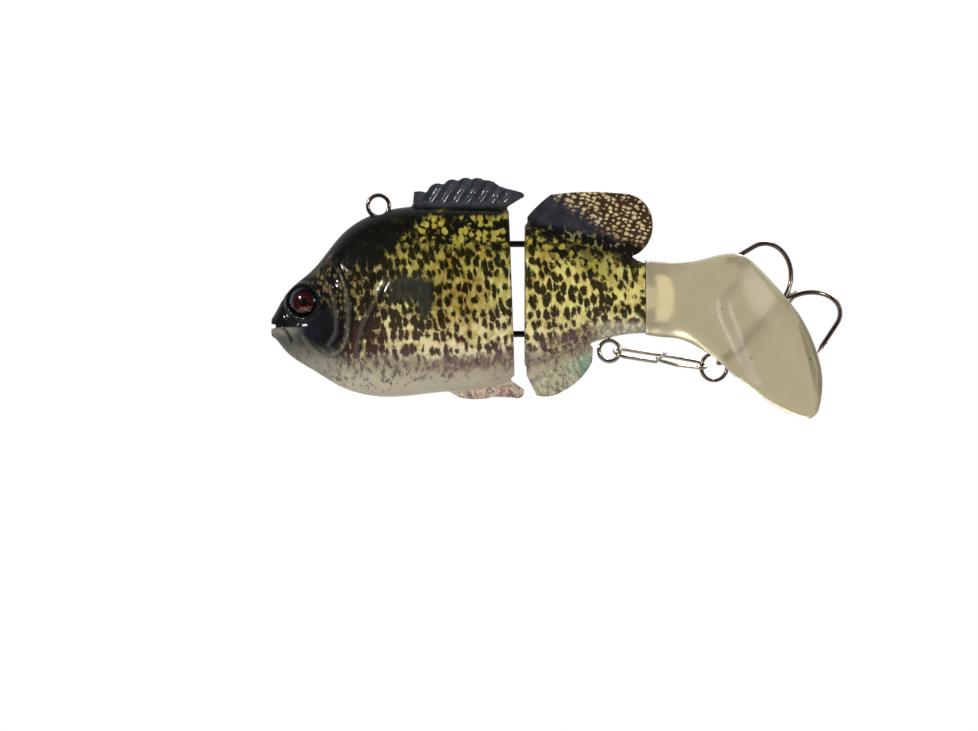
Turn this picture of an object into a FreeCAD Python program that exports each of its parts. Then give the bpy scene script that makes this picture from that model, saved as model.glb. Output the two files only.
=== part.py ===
import FreeCAD, Part
import math
import os
from FreeCAD import Placement, Rotation, Vector

# A panfish-shaped jointed swimbait, nose towards -X, back towards +Z, its left flank towards -Y.
# The origin is the centre of the line tie, the wire eye on its back.
# Two cast resin body sections meet at a vertical hinge pin. A soft tail is moulded over a tongue
# on the rear section. A treble hook trails from the belly eye on a snap and a split ring.

X_AXIS, Y_AXIS, Z_AXIS = Vector(1, 0, 0), Vector(0, 1, 0), Vector(0, 0, 1)
REACH = 200.0  # longer than the whole bait, for cutting tools

doc = FreeCAD.newDocument("swimbait")
sheet = doc.addObject("Spreadsheet::Sheet", "dims")
sub_parts = []

# ---------------------------------------------------------------------------------------------
# Driving dimensions, in millimetres and degrees
# ---------------------------------------------------------------------------------------------
DIMENSIONS = [
    ("nose_to_tie", 27.0, "nose tip to the line tie, along X"),
    ("back_drop", 0.1, "back line below the centre of the line tie"),
    ("front_length", 60.4, "nose tip to the joint face at mid height"),
    ("rear_length", 30.2, "joint face to the tail face of the rear section"),
    ("body_height", 47.5, "back to belly at the deepest section"),
    ("body_width", 21.2, "flank to flank at the widest section"),
    ("joint_gap", 3.1, "open gap between the sections at mid height"),
    ("joint_tilt", 2.0, "lean of the front section's joint face from the vertical"),
    ("joint_round", 1.0, "radius round the rim of each joint face"),
    ("mouth_length", 1.3, "depth of the mouth slot"),
    ("mouth_height", 0.7, "height of the mouth slot"),
    ("gill_lift", 0.45, "step at the edge of the gill plate"),
    ("gill_edge", 19.2, "nose tip to the edge of the gill plate"),
    ("eye_x", 8.4, "nose tip to the eye's centre"),
    ("eye_drop", 23.9, "back line to the eye's centre"),
    ("eye_diameter", 7.0, "diameter of the eye lens"),
    ("eye_clearance", 0.1, "gap round the eye in its socket"),
    ("eye_yaw", 15.0, "turn of the eye towards the nose"),
    ("iris_thickness", 0.5, "thickness of the iris disc"),
    ("lens_rim", 0.6, "straight rim of the lens below its dome"),
    ("lens_dome", 1.5, "height of the lens dome"),
    ("spiny_fin_length", 24.6, "base of the spiny dorsal fin"),
    ("spiny_fin_height", 7.2, "tallest spine above the back"),
    ("spiny_fin_thickness", 2.2, "thickness of the spiny dorsal fin"),
    ("spine_rake", 36.0, "lean of each spine behind the vertical"),
    ("spine_groove", 0.45, "depth of the furrow between two spines"),
    ("soft_fin_thickness", 2.8, "thickness of the soft dorsal fin"),
    ("soft_fin_length", 31.4, "soft dorsal fin, front foot to rearmost point"),
    ("soft_fin_rise", 3.6, "top of the soft dorsal fin above the back line"),
    ("anal_fin_thickness", 3.2, "thickness of the anal fin"),
    ("anal_fin_depth", 0.9, "anal fin below the deepest point of the belly"),
    ("front_anal_fin_length", 15.8, "leading part of the anal fin ahead of the rear face"),
    ("rear_anal_fin_length", 17.1, "trailing part of the anal fin behind the joint face"),
    ("rear_anal_fin_height", 13.2, "tip of the anal fin up to the end of its trailing edge"),
    ("tie_ring", 2.66, "centreline radius of the line tie's ring"),
    ("tie_land", 0.05, "depth of the land coined inside the line tie"),
    ("tie_relief", 0.2, "resin kept back from the hole of the line tie"),
    ("eye_wire", 1.05, "wire diameter of the line tie and the belly eye"),
    ("eye_shank", 9.5, "length of each wire eye's shank below its ring"),
    ("belly_ring", 2.6, "centreline radius of the belly eye's ring"),
    ("belly_eye_to_tail", 9.0, "belly eye to the tail face, along X"),
    ("hinge_wire", 1.6, "wire diameter of the hinge eyes"),
    ("hinge_upper", 9.4, "back line to the upper hinge eye"),
    ("hinge_lower", 31.9, "back line to the lower hinge eye"),
    ("hinge_shank", 9.0, "length of a hinge eye's shank inside the front section"),
    ("hinge_running", 0.1, "radial running clearance of an eye on the pin"),
    ("slot_clearance", 0.3, "clearance round a hinge eye in its slot"),
    ("pin_diameter", 1.5, "hinge pin diameter"),
    ("pin_setback", 3.2, "joint face of the rear section to the pin's axis"),
    ("pin_above", 2.6, "pin above the upper hinge eye"),
    ("pin_below", 3.6, "pin below the lower hinge eye"),
    ("front_ballast_diameter", 8.0, "diameter of the front ballast slug"),
    ("front_ballast_length", 18.0, "length of the front ballast slug"),
    ("front_ballast_drop", 38.4, "back line to the front slug's axis"),
    ("rear_ballast_diameter", 4.4, "diameter of the rear ballast slug"),
    ("rear_ballast_length", 7.5, "length of the rear ballast slug"),
    ("rear_ballast_drop", 31.0, "back line to the rear slug's axis"),
    ("tongue_stem_height", 6.8, "height of the tongue's stem"),
    ("tongue_stem_length", 3.8, "tail face to the tongue's head"),
    ("tongue_head_height", 12.2, "height of the tongue's head"),
    ("tongue_head_length", 4.0, "length of the tongue's head"),
    ("tongue_thickness", 3.4, "thickness of the tongue"),
    ("tail_pin_diameter", 0.9, "diameter of the two tail pins"),
    ("tail_pin_length", 6.0, "length of the two tail pins"),
    ("tail_pin_spacing", 2.9, "height between the two tail pins"),
    ("tail_length", 44.4, "tail face to the tail's rearmost point"),
    ("tail_height", 41.2, "top lobe to bottom lobe of the tail"),
    ("tail_wrist", 12.6, "tail face to the axis that the tail flexes about"),
    ("tail_gap", 0.3, "running gap where the tail model is divided"),
    ("tail_lip", 0.35, "tail's root standing proud of the rear section all round"),
    ("tail_cup", 3.2, "sideways curl of the tail's trailing edge"),
    ("snap_wire", 0.85, "wire diameter of the snap"),
    ("snap_width", 5.2, "snap's width between wire centrelines"),
    ("snap_nose", 2.0, "centreline radius of the snap's end at the split ring"),
    ("snap_roll", 21.0, "roll of the snap about its own length"),
    ("snap_drop", 8.6, "slope of the snap below the horizontal"),
    ("snap_yaw", 14.6, "swing of the snap towards the right flank"),
    ("snap_reach", 27.8, "belly eye's centre to the split ring's centre"),
    ("link_clearance", 0.3, "gap between two linked wires"),
    ("split_ring_radius", 3.4, "centreline radius of the split ring"),
    ("split_ring_wire", 0.8, "wire diameter of the split ring's two coils"),
    ("split_ring_pitch", 0.7, "distance between the two coils"),
    ("hook_wire", 1.2, "wire diameter of the treble hook's arms"),
    ("hook_shank_diameter", 1.8, "diameter of the brazed shank"),
    ("hook_eye", 1.8, "centreline radius of the treble hook's eye"),
    ("hook_shank", 23.0, "treble hook's eye to the start of its bends"),
    ("hook_bend", 8.1, "centreline radius of each bend"),
    ("hook_turn", 168.0, "angle that each bend turns through"),
    ("hook_leg", 8.2, "straight leg of each arm up to its point"),
    ("hook_point", 2.6, "length of each tapered point"),
    ("hook_barb", 1.5, "length of each barb"),
    ("hook_rise", 43.0, "slope of the treble hook above the horizontal"),
    ("hook_yaw", 24.0, "swing of the treble hook towards the right flank"),
    ("hook_roll", -20.0, "roll of the treble hook about its shank"),
]


def fill_sheet():
    for row, (alias, value, meaning) in enumerate(DIMENSIONS, start=1):
        sheet.set(f"A{row}", meaning)
        sheet.set(f"B{row}", str(value))
        sheet.setAlias(f"B{row}", alias)
    doc.recompute()


def size(alias):
    return float(getattr(sheet, alias))


fill_sheet()

# ---------------------------------------------------------------------------------------------
# Profiles: each station gives its place along a section and its top, bottom and half width
# as shares of the section's length, the body height and half the body width
# ---------------------------------------------------------------------------------------------
FRONT_STATIONS = [
    (0.004, 0.592, 0.684, 0.15),
    (0.039, 0.515, 0.724, 0.31),
    (0.115, 0.398, 0.815, 0.50),
    (0.200, 0.298, 0.880, 0.66),
    (0.302, 0.140, 0.955, 0.83),
    (0.424, 0.043, 0.997, 0.95),
    (0.578, 0.002, 0.996, 1.00),
    (0.765, 0.000, 0.972, 0.97),
    (1.025, 0.014, 0.880, 0.79),
]
REAR_STATIONS = [
    (0.000, 0.075, 0.856, 0.780),
    (0.290, 0.155, 0.782, 0.715),
    (0.650, 0.225, 0.700, 0.585),
    (1.000, 0.292, 0.668, 0.434),
]
# The tail's stations follow on: shares of the tail length, of the tail height above and below
# the tail face's middle, and half the width in millimetres
TAIL_STATIONS = [
    (0.10, 0.215, 0.232, 4.2),
    (0.22, 0.212, 0.258, 3.5),
    (0.35, 0.262, 0.345, 3.1),
    (0.48, 0.330, 0.500, 2.0),
    (0.66, 0.420, 0.650, 1.9),
    (0.86, 0.420, 0.760, 1.6),
    (1.02, 0.330, 0.820, 1.2),
]

nose_x = -size("nose_to_tie")
front_face_x = nose_x + size("front_length")
rear_face_x = front_face_x + size("joint_gap")
tail_face_x = rear_face_x + size("rear_length")
back_z = -size("back_drop")
pin_x = rear_face_x + size("pin_setback")
wrist_x = tail_face_x + size("tail_wrist")


def between(stations, along, column):
    """A station value at a place between two stations."""
    for low, high in zip(stations, stations[1:]):
        if along <= high[0]:
            share = (along - low[0]) / (high[0] - low[0])
            return low[column] + share * (high[column] - low[column])
    return stations[-1][column]


def section_at(x):
    """Top, bottom and half width of the body at x."""
    if x < rear_face_x:
        stations, along = FRONT_STATIONS, (x - nose_x) / size("front_length")
    else:
        stations, along = REAR_STATIONS, (x - rear_face_x) / size("rear_length")
    top = back_z - between(stations, along, 1) * size("body_height")
    bottom = back_z - between(stations, along, 2) * size("body_height")
    return top, bottom, between(stations, along, 3) * size("body_width") / 2


def flank_at(x, z):
    """Half width of the body at a point of its side view."""
    top, bottom, half_width = section_at(x)
    share = (z - (top + bottom) / 2) / ((top - bottom) / 2)
    return half_width * math.sqrt(max(0.0, 1 - share * share))


tail_face_top, tail_face_bottom, tail_face_half = section_at(tail_face_x - 1e-6)
tail_z = (tail_face_top + tail_face_bottom) / 2

# ---------------------------------------------------------------------------------------------
# Helpers that add document objects
# ---------------------------------------------------------------------------------------------


def feature(name, shape):
    """An object whose shape comes from Part's own functions."""
    made = doc.addObject("Part::Feature", name)
    made.Shape = shape
    return made


def bound(kind, name, place=None, **expressions):
    """A document object whose properties follow expressions on the sheet."""
    made = doc.addObject(kind, name)
    for prop, expression in expressions.items():
        made.setExpression(prop, expression)
    if place is not None:
        made.Placement = place
    return made


def fuse(name, *objects):
    made = doc.addObject("Part::MultiFuse", name)
    made.Shapes = list(objects)
    return made


def cut(name, base, *tools):
    """base less the tools, which stay as they are."""
    made = doc.addObject("Part::Cut", name)
    made.Base = base
    made.Tool = tools[0] if len(tools) == 1 else fuse(name + "_tools", *tools)
    return made


def common(name, *objects):
    made = doc.addObject("Part::MultiCommon", name)
    made.Shapes = list(objects)
    return made


def sub_part(obj, node):
    """Marks an object as a finished sub-part, which is written to a file of its own."""
    obj.Label = node
    sub_parts.append((node, obj))
    return obj


def ellipse(name, x, z, half_height, half_width, y="0"):
    """An upright elliptical section across the body. All values are expressions."""
    made = doc.addObject("Part::Ellipse", name)
    made.Placement = Placement(Vector(), Rotation(Y_AXIS, -90))
    made.setExpression("MajorRadius", half_height)
    made.setExpression("MinorRadius", half_width)
    made.setExpression("Placement.Base.x", x)
    made.setExpression("Placement.Base.y", y)
    made.setExpression("Placement.Base.z", z)
    return made


def body_loft(name, stations, start, length, widening=0.0, wide_from=0.0, wide_to=1.0):
    """A smooth solid through body stations. widening swells its flanks between two places."""
    sections = []
    for n, (along, top, bottom, width) in enumerate(stations):
        swell = min(1.0, max(0.0, (along - wide_from) / (wide_to - wide_from)))
        sections.append(
            ellipse(
                f"{name}_section_{n}",
                f"{start} + dims.{length} * {along}",
                f"-dims.back_drop - dims.body_height * {(top + bottom) / 2}",
                f"dims.body_height * {(bottom - top) / 2}",
                f"dims.body_width / 2 * {width} + dims.gill_lift * {widening * swell}",
            )
        )
    loft = doc.addObject("Part::Loft", name)
    loft.Sections = sections
    loft.Solid = True
    loft.MaxDegree = 3
    return loft


def side_pad(name, edges, thickness):
    """A plate of the given sheet thickness, centred on the mid plane, from its side outline."""
    body = doc.addObject("PartDesign::Body", name)
    sketch = body.newObject("Sketcher::SketchObject", name + "_outline")
    plane = next(o for o in body.Origin.OriginFeatures if o.Role == "XZ_Plane")
    sketch.AttachmentSupport = [(plane, "")]
    sketch.MapMode = "FlatFace"
    for edge in edges:
        sketch.addGeometry(edge, False)
    pad = body.newObject("PartDesign::Pad", name + "_pad")
    pad.Profile = sketch
    pad.Midplane = True
    if isinstance(thickness, str):
        pad.setExpression("Length", thickness)
    else:
        pad.Length = thickness
    return body


def outline(points):
    """Edges of a closed outline: (x, z) pairs, and ((x, z) middle, (x, z) end) for an arc."""
    edges, here = [], None
    for step in list(points) + [points[0]]:
        if isinstance(step[0], tuple):
            middle, end = (Vector(p[0], p[1], 0) for p in step)
            edges.append(Part.Arc(here, middle, end))
        else:
            end = Vector(step[0], step[1], 0)
            if here is not None and (end - here).Length > 1e-6:
                edges.append(Part.LineSegment(here, end))
        here = end
    return edges


# ---------------------------------------------------------------------------------------------
# Wires: line tie, belly eye, hinge eyes, hinge pin
# ---------------------------------------------------------------------------------------------


def wire_eye(name, centre, ring_axis, shank_way, ring, wire, shank):
    """A closed wire ring on a straight shank. ring, wire and shank are expressions."""
    turn = Rotation(Z_AXIS, ring_axis)
    ring_solid = bound(
        "Part::Torus",
        name + "_ring",
        Placement(centre, turn),
        Radius1=ring,
        Radius2=f"({wire}) / 2",
    )
    shank_solid = bound(
        "Part::Cylinder",
        name + "_shank",
        Placement(centre + shank_way * eye_radius(ring), Rotation(Z_AXIS, shank_way)),
        Radius=f"({wire}) / 2",
        Height=shank,
    )
    return fuse(name + "_wire", ring_solid, shank_solid)


def eye_radius(expression):
    """The value of a ring's expression, which names sheet cells."""
    values = {alias: size(alias) for alias, _, _ in DIMENSIONS}
    total = 0.0
    for term in expression.split("+"):
        term = term.strip()
        share = 0.5 if term.endswith("/ 2") else 1.0
        total += share * values[term.replace("/ 2", "").strip().replace("dims.", "")]
    return total


# The inside of the line tie is coined to a narrow round land, which the line or a clip bears on
tie_hole = bound(
    "Part::Cylinder",
    "tie_hole",
    Placement(Vector(0, -REACH / 2, 0), Rotation(Z_AXIS, Y_AXIS)),
    Radius="dims.tie_ring - dims.eye_wire / 2 + dims.tie_land",
)
tie_hole.Height = REACH
tie_relief = bound(
    "Part::Cylinder",
    "tie_relief",
    tie_hole.Placement,
    Radius="dims.tie_ring - dims.eye_wire / 2 + dims.tie_land + dims.tie_relief",
)
tie_relief.Height = REACH
line_tie = sub_part(
    cut(
        "line_tie_coined",
        wire_eye(
            "line_tie",
            Vector(),
            Y_AXIS,
            -Z_AXIS,
            "dims.tie_ring",
            "dims.eye_wire",
            "dims.eye_shank",
        ),
        tie_hole,
    ),
    "line_tie",
)

belly_x = tail_face_x - size("belly_eye_to_tail")
belly_eye_centre = Vector(
    belly_x, 0, section_at(belly_x)[1] - size("belly_ring") - size("eye_wire") / 2
)
belly_eye = sub_part(
    wire_eye(
        "belly_hook_eye",
        belly_eye_centre,
        Y_AXIS,
        Z_AXIS,
        "dims.belly_ring",
        "dims.eye_wire",
        "dims.eye_shank",
    ),
    "belly_hook_eye",
)

HINGE_RING = "dims.pin_diameter / 2 + dims.hinge_running + dims.hinge_wire / 2"
hinge_ring = eye_radius(HINGE_RING)
hinge_levels = {"upper": back_z - size("hinge_upper"), "lower": back_z - size("hinge_lower")}
hinge_eyes = {}
for level, z in hinge_levels.items():
    hinge_eyes[level] = sub_part(
        wire_eye(
            f"{level}_hinge_eye",
            Vector(pin_x, 0, z),
            Z_AXIS,
            -X_AXIS,
            HINGE_RING,
            "dims.hinge_wire",
            "dims.joint_gap + dims.hinge_shank",
        ),
        f"{level}_hinge_eye",
    )

pin_top = hinge_levels["upper"] + size("pin_above")
pin_bottom = hinge_levels["lower"] - size("pin_below")
hinge_pin = bound(
    "Part::Cylinder",
    "hinge_pin_wire",
    Placement(Vector(pin_x, 0, pin_bottom), Rotation()),
    Radius="dims.pin_diameter / 2",
    Height="dims.hinge_lower - dims.hinge_upper + dims.pin_above + dims.pin_below",
)
sub_part(hinge_pin, "hinge_pin")

# ---------------------------------------------------------------------------------------------
# Ballast slugs, cast into the belly of each section
# ---------------------------------------------------------------------------------------------


def slug(name, x, side):
    """A round-ended slug of lead that lies along the belly."""
    radius = size(f"{side}_ballast_diameter") / 2
    bar = bound(
        "Part::Cylinder",
        name + "_bar",
        Placement(
            Vector(x, 0, back_z - size(f"{side}_ballast_drop")), Rotation(Z_AXIS, X_AXIS)
        ),
        Radius=f"dims.{side}_ballast_diameter / 2",
        Height=f"dims.{side}_ballast_length",
    )
    doc.recompute()
    rounded = doc.addObject("Part::Fillet", name + "_slug")
    rounded.Base = bar
    rims = [
        n + 1 for n, e in enumerate(bar.Shape.Edges) if isinstance(e.Curve, Part.Circle)
    ]
    rounded.Edges = [(n, radius * 0.3, radius * 0.3) for n in rims]
    return sub_part(rounded, name)


front_ballast = slug("front_ballast", nose_x + 0.45 * size("front_length"), "front")
rear_ballast = slug("rear_ballast", pin_x + size("pin_diameter") * 2.6, "rear")

# ---------------------------------------------------------------------------------------------
# Front section: head and shoulder, gill plates, spiny dorsal fin, front of the anal fin
# ---------------------------------------------------------------------------------------------
front_loft = body_loft("front_loft", FRONT_STATIONS, "-dims.nose_to_tie", "front_length")

joint_middle = Vector(front_face_x, 0, back_z - size("body_height") / 2)


def behind_joint(name, tilt):
    """A block that fills the space behind the front section's joint face."""
    block = doc.addObject("Part::Box", name)
    block.Length = block.Width = block.Height = REACH
    corner = Placement(Vector(0, -REACH / 2, -REACH / 2), Rotation())
    block.Placement = Placement(joint_middle, Rotation(Y_AXIS, tilt)).multiply(corner)
    return block


front_trimmed = cut(
    "front_trimmed", front_loft, behind_joint("joint_block", -size("joint_tilt"))
)
doc.recompute()


def rim_of_plane(shape, x_low, x_high):
    """Numbers of the edges round the flat end face whose middle lies between two places."""
    face = next(
        f
        for f in shape.Faces
        if isinstance(f.Surface, Part.Plane)
        and x_low < f.CenterOfMass.x < x_high
        and abs(f.normalAt(0, 0).x) > 0.9
    )
    return [
        n + 1
        for n, e in enumerate(shape.Edges)
        if any(e.isSame(rim) for rim in face.Edges)
    ]


def rounded_rim(name, base, x, radius):
    made = doc.addObject("Part::Fillet", name)
    made.Base = base
    made.Edges = [(n, radius, radius) for n in rim_of_plane(base.Shape, x - 3, x + 3)]
    return made


front_rounded = rounded_rim(
    "front_rounded", front_trimmed, front_face_x, size("joint_round")
)

# Gill plate: the flank swollen by a step, inside a round outline behind the eye


def gill_plate(name, edge, lift):
    """A raised cheek plate whose rear edge is an arc at the given distance from the nose."""
    height = size("body_height")
    x = nose_x + edge
    swollen = body_loft(
        name + "_flank",
        FRONT_STATIONS,
        "-dims.nose_to_tie",
        "front_length",
        lift,
        0.10,
        0.28,
    )
    top = (x - 3.2, back_z - 0.24 * height)
    bottom = (x - 8.6, back_z - 0.78 * height)
    plate = side_pad(
        name + "_plate",
        outline(
            [
                top,
                ((x, back_z - 0.55 * height), (x - 2.6, back_z - 0.72 * height)),
                ((x - 5.0, back_z - 0.775 * height), bottom),
                (x - 12.5, back_z - 0.60 * height),
                (x - 10.5, back_z - 0.42 * height),
            ]
        ),
        "dims.body_width * 1.5",
    )
    return common(name, swollen, plate)


gill_cover = gill_plate("gill_cover", size("gill_edge"), 1.0)

# Spiny dorsal fin: one scallop to each spine, rising and falling along the base
SPINES = 8
SPINE_HEIGHTS = [0.52, 0.80, 0.94, 1.00, 0.99, 0.90, 0.72, 0.60]


def spiny_fin():
    length, height = size("spiny_fin_length"), size("spiny_fin_height")
    start = front_face_x - length - 0.9
    pitch = length / SPINES
    lean = math.tan(math.radians(size("spine_rake")))
    foot = back_z - 3.0
    points = [(start + 0.2, foot)]
    for n, share in enumerate(SPINE_HEIGHTS):
        tip_z = back_z + height * share
        tip_x = start + (n + 0.15) * pitch + lean * height * share * 0.72
        valley_x = tip_x + pitch * 0.62
        valley_z = tip_z - 0.5 - 0.35 * abs(share - 0.8)
        if n == SPINES - 1:
            valley_x, valley_z = tip_x + pitch * 1.25, tip_z - 0.9
        if n == 0:
            points.append((tip_x - pitch * 0.45, tip_z - 0.2))
        points.append(
            (
                (tip_x + pitch * 0.18, tip_z),
                (valley_x, valley_z),
            )
        )
    last = points[-1][1]
    points.append((last[0] + 0.5, last[1] - 0.9))
    points.append((front_face_x - 1.3, back_z - 0.2))
    points.append((front_face_x - 2.2, foot))
    blade = side_pad("spiny_fin_blade", outline(points), "dims.spiny_fin_thickness")
    doc.recompute()
    furrows = []
    half, depth = size("spiny_fin_thickness") / 2, size("spine_groove")
    radius = pitch * 0.42
    for n in range(1, SPINES):
        for side in (-1, 1):
            furrow = bound(
                "Part::Cylinder",
                f"furrow_{n}_{'right' if side > 0 else 'left'}",
                Placement(
                    Vector(
                        start + n * pitch + 0.5, side * (half + radius - depth), back_z + 0.5
                    ),
                    Rotation(Y_AXIS, size("spine_rake")),
                ),
            )
            furrow.Radius = radius
            furrow.Height = height * 2
            furrows.append(furrow)
    return cut("spiny_fin", blade, *furrows)


dorsal_spines = spiny_fin()
belly_z = back_z - size("body_height")
fin_tip_z = belly_z - size("anal_fin_depth")


def front_anal_fin():
    """The shallow leading part of the anal fin, which runs back under the gap."""
    length, over = size("front_anal_fin_length"), size("joint_gap")
    foot = fin_tip_z + 0.329 * length
    points = [
        (front_face_x - length, belly_z + 0.082 * length),
        (front_face_x - 0.842 * length, fin_tip_z + 0.7),
        (
            (front_face_x - 0.633 * length, fin_tip_z + 0.2),
            (front_face_x - 0.291 * length, fin_tip_z + 0.8),
        ),
        (front_face_x + 0.194 * over, fin_tip_z + 0.6),
        (
            (front_face_x + 0.935 * over, fin_tip_z + 1.4),
            (front_face_x + 0.935 * over, fin_tip_z + 2.7),
        ),
        (front_face_x - 0.194 * over, foot),
        (front_face_x - 0.152 * length, foot + 0.152 * length),
        (front_face_x - 0.633 * length, foot + 0.6),
    ]
    return side_pad("front_anal_fin", outline(points), "dims.anal_fin_thickness")


front_raw = fuse("front_raw", front_rounded, gill_cover, dorsal_spines, front_anal_fin())

# Mouth: a slot between the lips that slopes down towards the corner of the jaw
mouth_z = back_z - 0.645 * size("body_height")
mouth = bound(
    "Part::Box",
    "mouth_slot",
    Placement(Vector(nose_x - 1.0, -REACH / 2, mouth_z + 0.6), Rotation(Y_AXIS, 12)),
    Length="dims.mouth_length + 1",
    Height="dims.mouth_height",
)
mouth.Width = REACH


# Eyes: an iris disc under a domed lens, in a round socket that is turned towards the nose
def eye_frame(side):
    """A placement at the socket's floor, with Z out of the head. side is -1 for the left."""
    x, z = nose_x + size("eye_x"), back_z - size("eye_drop")
    yaw = math.radians(size("eye_yaw"))
    out = Vector(-math.sin(yaw), side * math.cos(yaw), 0)
    depth = size("iris_thickness") + size("lens_rim") + 0.1
    surface = Vector(x, side * flank_at(x, z), z)
    return Placement(surface - out * depth, Rotation(Z_AXIS, out))


def lens(name, place):
    """A plano-convex lens: a short rim under a spherical dome."""
    radius, rim, dome = size("eye_diameter") / 2, size("lens_rim"), size("lens_dome")
    body = doc.addObject("PartDesign::Body", name)
    sketch = body.newObject("Sketcher::SketchObject", name + "_profile")
    plane = next(o for o in body.Origin.OriginFeatures if o.Role == "XZ_Plane")
    sketch.AttachmentSupport = [(plane, "")]
    sketch.MapMode = "FlatFace"
    low = size("iris_thickness")
    ball = (radius * radius + dome * dome) / (2 * dome)
    middle_x = radius * 0.55
    middle_z = low + rim + dome - ball + math.sqrt(ball * ball - middle_x * middle_x)
    for edge in outline(
        [
            (0, low),
            (radius, low),
            (radius, low + rim),
            ((middle_x, middle_z), (0, low + rim + dome)),
        ]
    ):
        sketch.addGeometry(edge, False)
    turned = body.newObject("PartDesign::Revolution", name + "_turned")
    turned.Profile = sketch
    turned.ReferenceAxis = (sketch, ["V_Axis"])
    turned.Angle = 360
    body.Placement = place
    return body


sockets = []
for side_name, side in (("left", -1), ("right", 1)):
    place = eye_frame(side)
    sub_part(
        bound(
            "Part::Cylinder",
            f"{side_name}_iris_disc",
            place,
            Radius="dims.eye_diameter / 2",
            Height="dims.iris_thickness",
        ),
        f"{side_name}_iris",
    )
    sub_part(lens(f"{side_name}_lens_body", place), f"{side_name}_eye_lens")
    socket = bound(
        "Part::Cylinder",
        f"{side_name}_socket",
        place,
        Radius="dims.eye_diameter / 2 + dims.eye_clearance",
    )
    socket.Height = 12
    sockets.append(socket)

front_body = cut(
    "front_body",
    front_raw,
    mouth,
    *sockets,
    line_tie,
    tie_relief,
    hinge_eyes["upper"],
    hinge_eyes["lower"],
    front_ballast,
)
sub_part(front_body, "front_body")

# ---------------------------------------------------------------------------------------------
# Rear section: soft dorsal fin, rear of the anal fin, tongue for the tail
# ---------------------------------------------------------------------------------------------
REAR_START = "dims.front_length - dims.nose_to_tie + dims.joint_gap"
rear_loft = body_loft("rear_loft", REAR_STATIONS, REAR_START, "rear_length")
doc.recompute()
rear_rounded = rounded_rim("rear_rounded", rear_loft, rear_face_x, size("joint_round"))


def soft_fin():
    """A broad rounded lobe that overhangs the wrist of the tail."""
    x, length = rear_face_x + 0.7, size("soft_fin_length")
    top = back_z + size("soft_fin_rise")
    drop = size("body_height")
    points = [
        (x, back_z - 0.2 * drop),
        (x, back_z - 0.055 * drop),
        ((x + 0.085 * length, back_z + 0.25), (x + 0.185 * length, top - 0.7)),
        ((x + 0.46 * length, top), (x + 0.74 * length, top - 0.4)),
        ((x + 0.92 * length, top - 2.4), (x + 0.997 * length, back_z - 0.085 * drop)),
        ((x + 0.975 * length, back_z - 0.175 * drop), (x + 0.885 * length, back_z - 0.247 * drop)),
        ((x + 0.80 * length, back_z - 0.262 * drop), (x + 0.70 * length, back_z - 0.235 * drop)),
        (x + 0.5 * length, back_z - 0.3 * drop),
    ]
    return side_pad("soft_fin", outline(points), "dims.soft_fin_thickness")


def rear_anal_fin():
    """The deeper trailing part of the anal fin, with its leading edge clear of the front part."""
    length, height = size("rear_anal_fin_length"), size("rear_anal_fin_height")

    def at(along, up):
        return rear_face_x + along * length, fin_tip_z + up * height

    points = [
        at(0.029, 0.470),
        at(0.175, 0.091),
        (at(0.351, 0.068), at(0.556, 0.167)),
        (at(0.795, 0.379), at(0.988, 0.727)),
        at(1.0, 1.0),
        at(0.819, 1.174),
        at(0.029, 1.174),
    ]
    return side_pad("rear_anal_fin", outline(points), "dims.anal_fin_thickness")


def tongue():
    """The mushroom-shaped tongue that the tail is moulded over."""
    stem, neck = size("tongue_stem_height") / 2, tail_face_x + size("tongue_stem_length")
    head, end = size("tongue_head_height") / 2, neck + size("tongue_head_length")
    points = [
        (tail_face_x - 1.0, tail_z - stem),
        (neck, tail_z - stem),
        (neck, tail_z - head),
        (neck + 1.2, tail_z - head),
        ((end, tail_z), (neck + 1.2, tail_z + head)),
        (neck, tail_z + head),
        (neck, tail_z + stem),
        (tail_face_x - 1.0, tail_z + stem),
    ]
    return side_pad("tail_tongue", outline(points), "dims.tongue_thickness")


tail_tongue = tongue()
rear_raw = fuse("rear_raw", rear_rounded, soft_fin(), rear_anal_fin(), tail_tongue)

slots = []
for level, z in hinge_levels.items():
    low = z - size("hinge_wire") / 2 - size("slot_clearance")
    half = hinge_ring + size("hinge_wire") / 2 + size("slot_clearance")
    box = bound(
        "Part::Box",
        f"{level}_slot_mouth",
        Placement(Vector(rear_face_x - 5, -half, low), Rotation()),
        Length="dims.pin_setback + 5",
        Height="dims.hinge_wire + dims.slot_clearance * 2",
    )
    box.Width = 2 * half
    bowl = bound(
        "Part::Cylinder",
        f"{level}_slot_bowl",
        Placement(Vector(pin_x, 0, low), Rotation()),
        Height="dims.hinge_wire + dims.slot_clearance * 2",
    )
    bowl.Radius = half
    slots += [box, bowl]

plug_bore = bound(
    "Part::Cylinder",
    "plug_bore",
    Placement(Vector(pin_x, 0, pin_bottom - REACH), Rotation()),
    Radius="dims.pin_diameter / 2",
)
plug_bore.Height = REACH
pin_plug = sub_part(common("hinge_pin_plug", rear_raw, plug_bore), "hinge_pin_plug")

tail_pins = {}
pin_row_x = tail_face_x + size("tongue_stem_length") * 0.45
for level, side in (("upper", 1), ("lower", -1)):
    z = tail_z + side * size("tail_pin_spacing") / 2
    tail_pins[level] = bound(
        "Part::Cylinder",
        f"{level}_tail_pin",
        Placement(
            Vector(pin_row_x, -size("tail_pin_length") / 2, z), Rotation(Z_AXIS, Y_AXIS)
        ),
        Radius="dims.tail_pin_diameter / 2",
        Height="dims.tail_pin_length",
    )
    sub_part(tail_pins[level], f"{level}_tail_pin")

rear_body = cut(
    "rear_body",
    rear_raw,
    *slots,
    hinge_pin,
    plug_bore,
    belly_eye,
    rear_ballast,
    *tail_pins.values(),
)
sub_part(rear_body, "rear_body")

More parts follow.
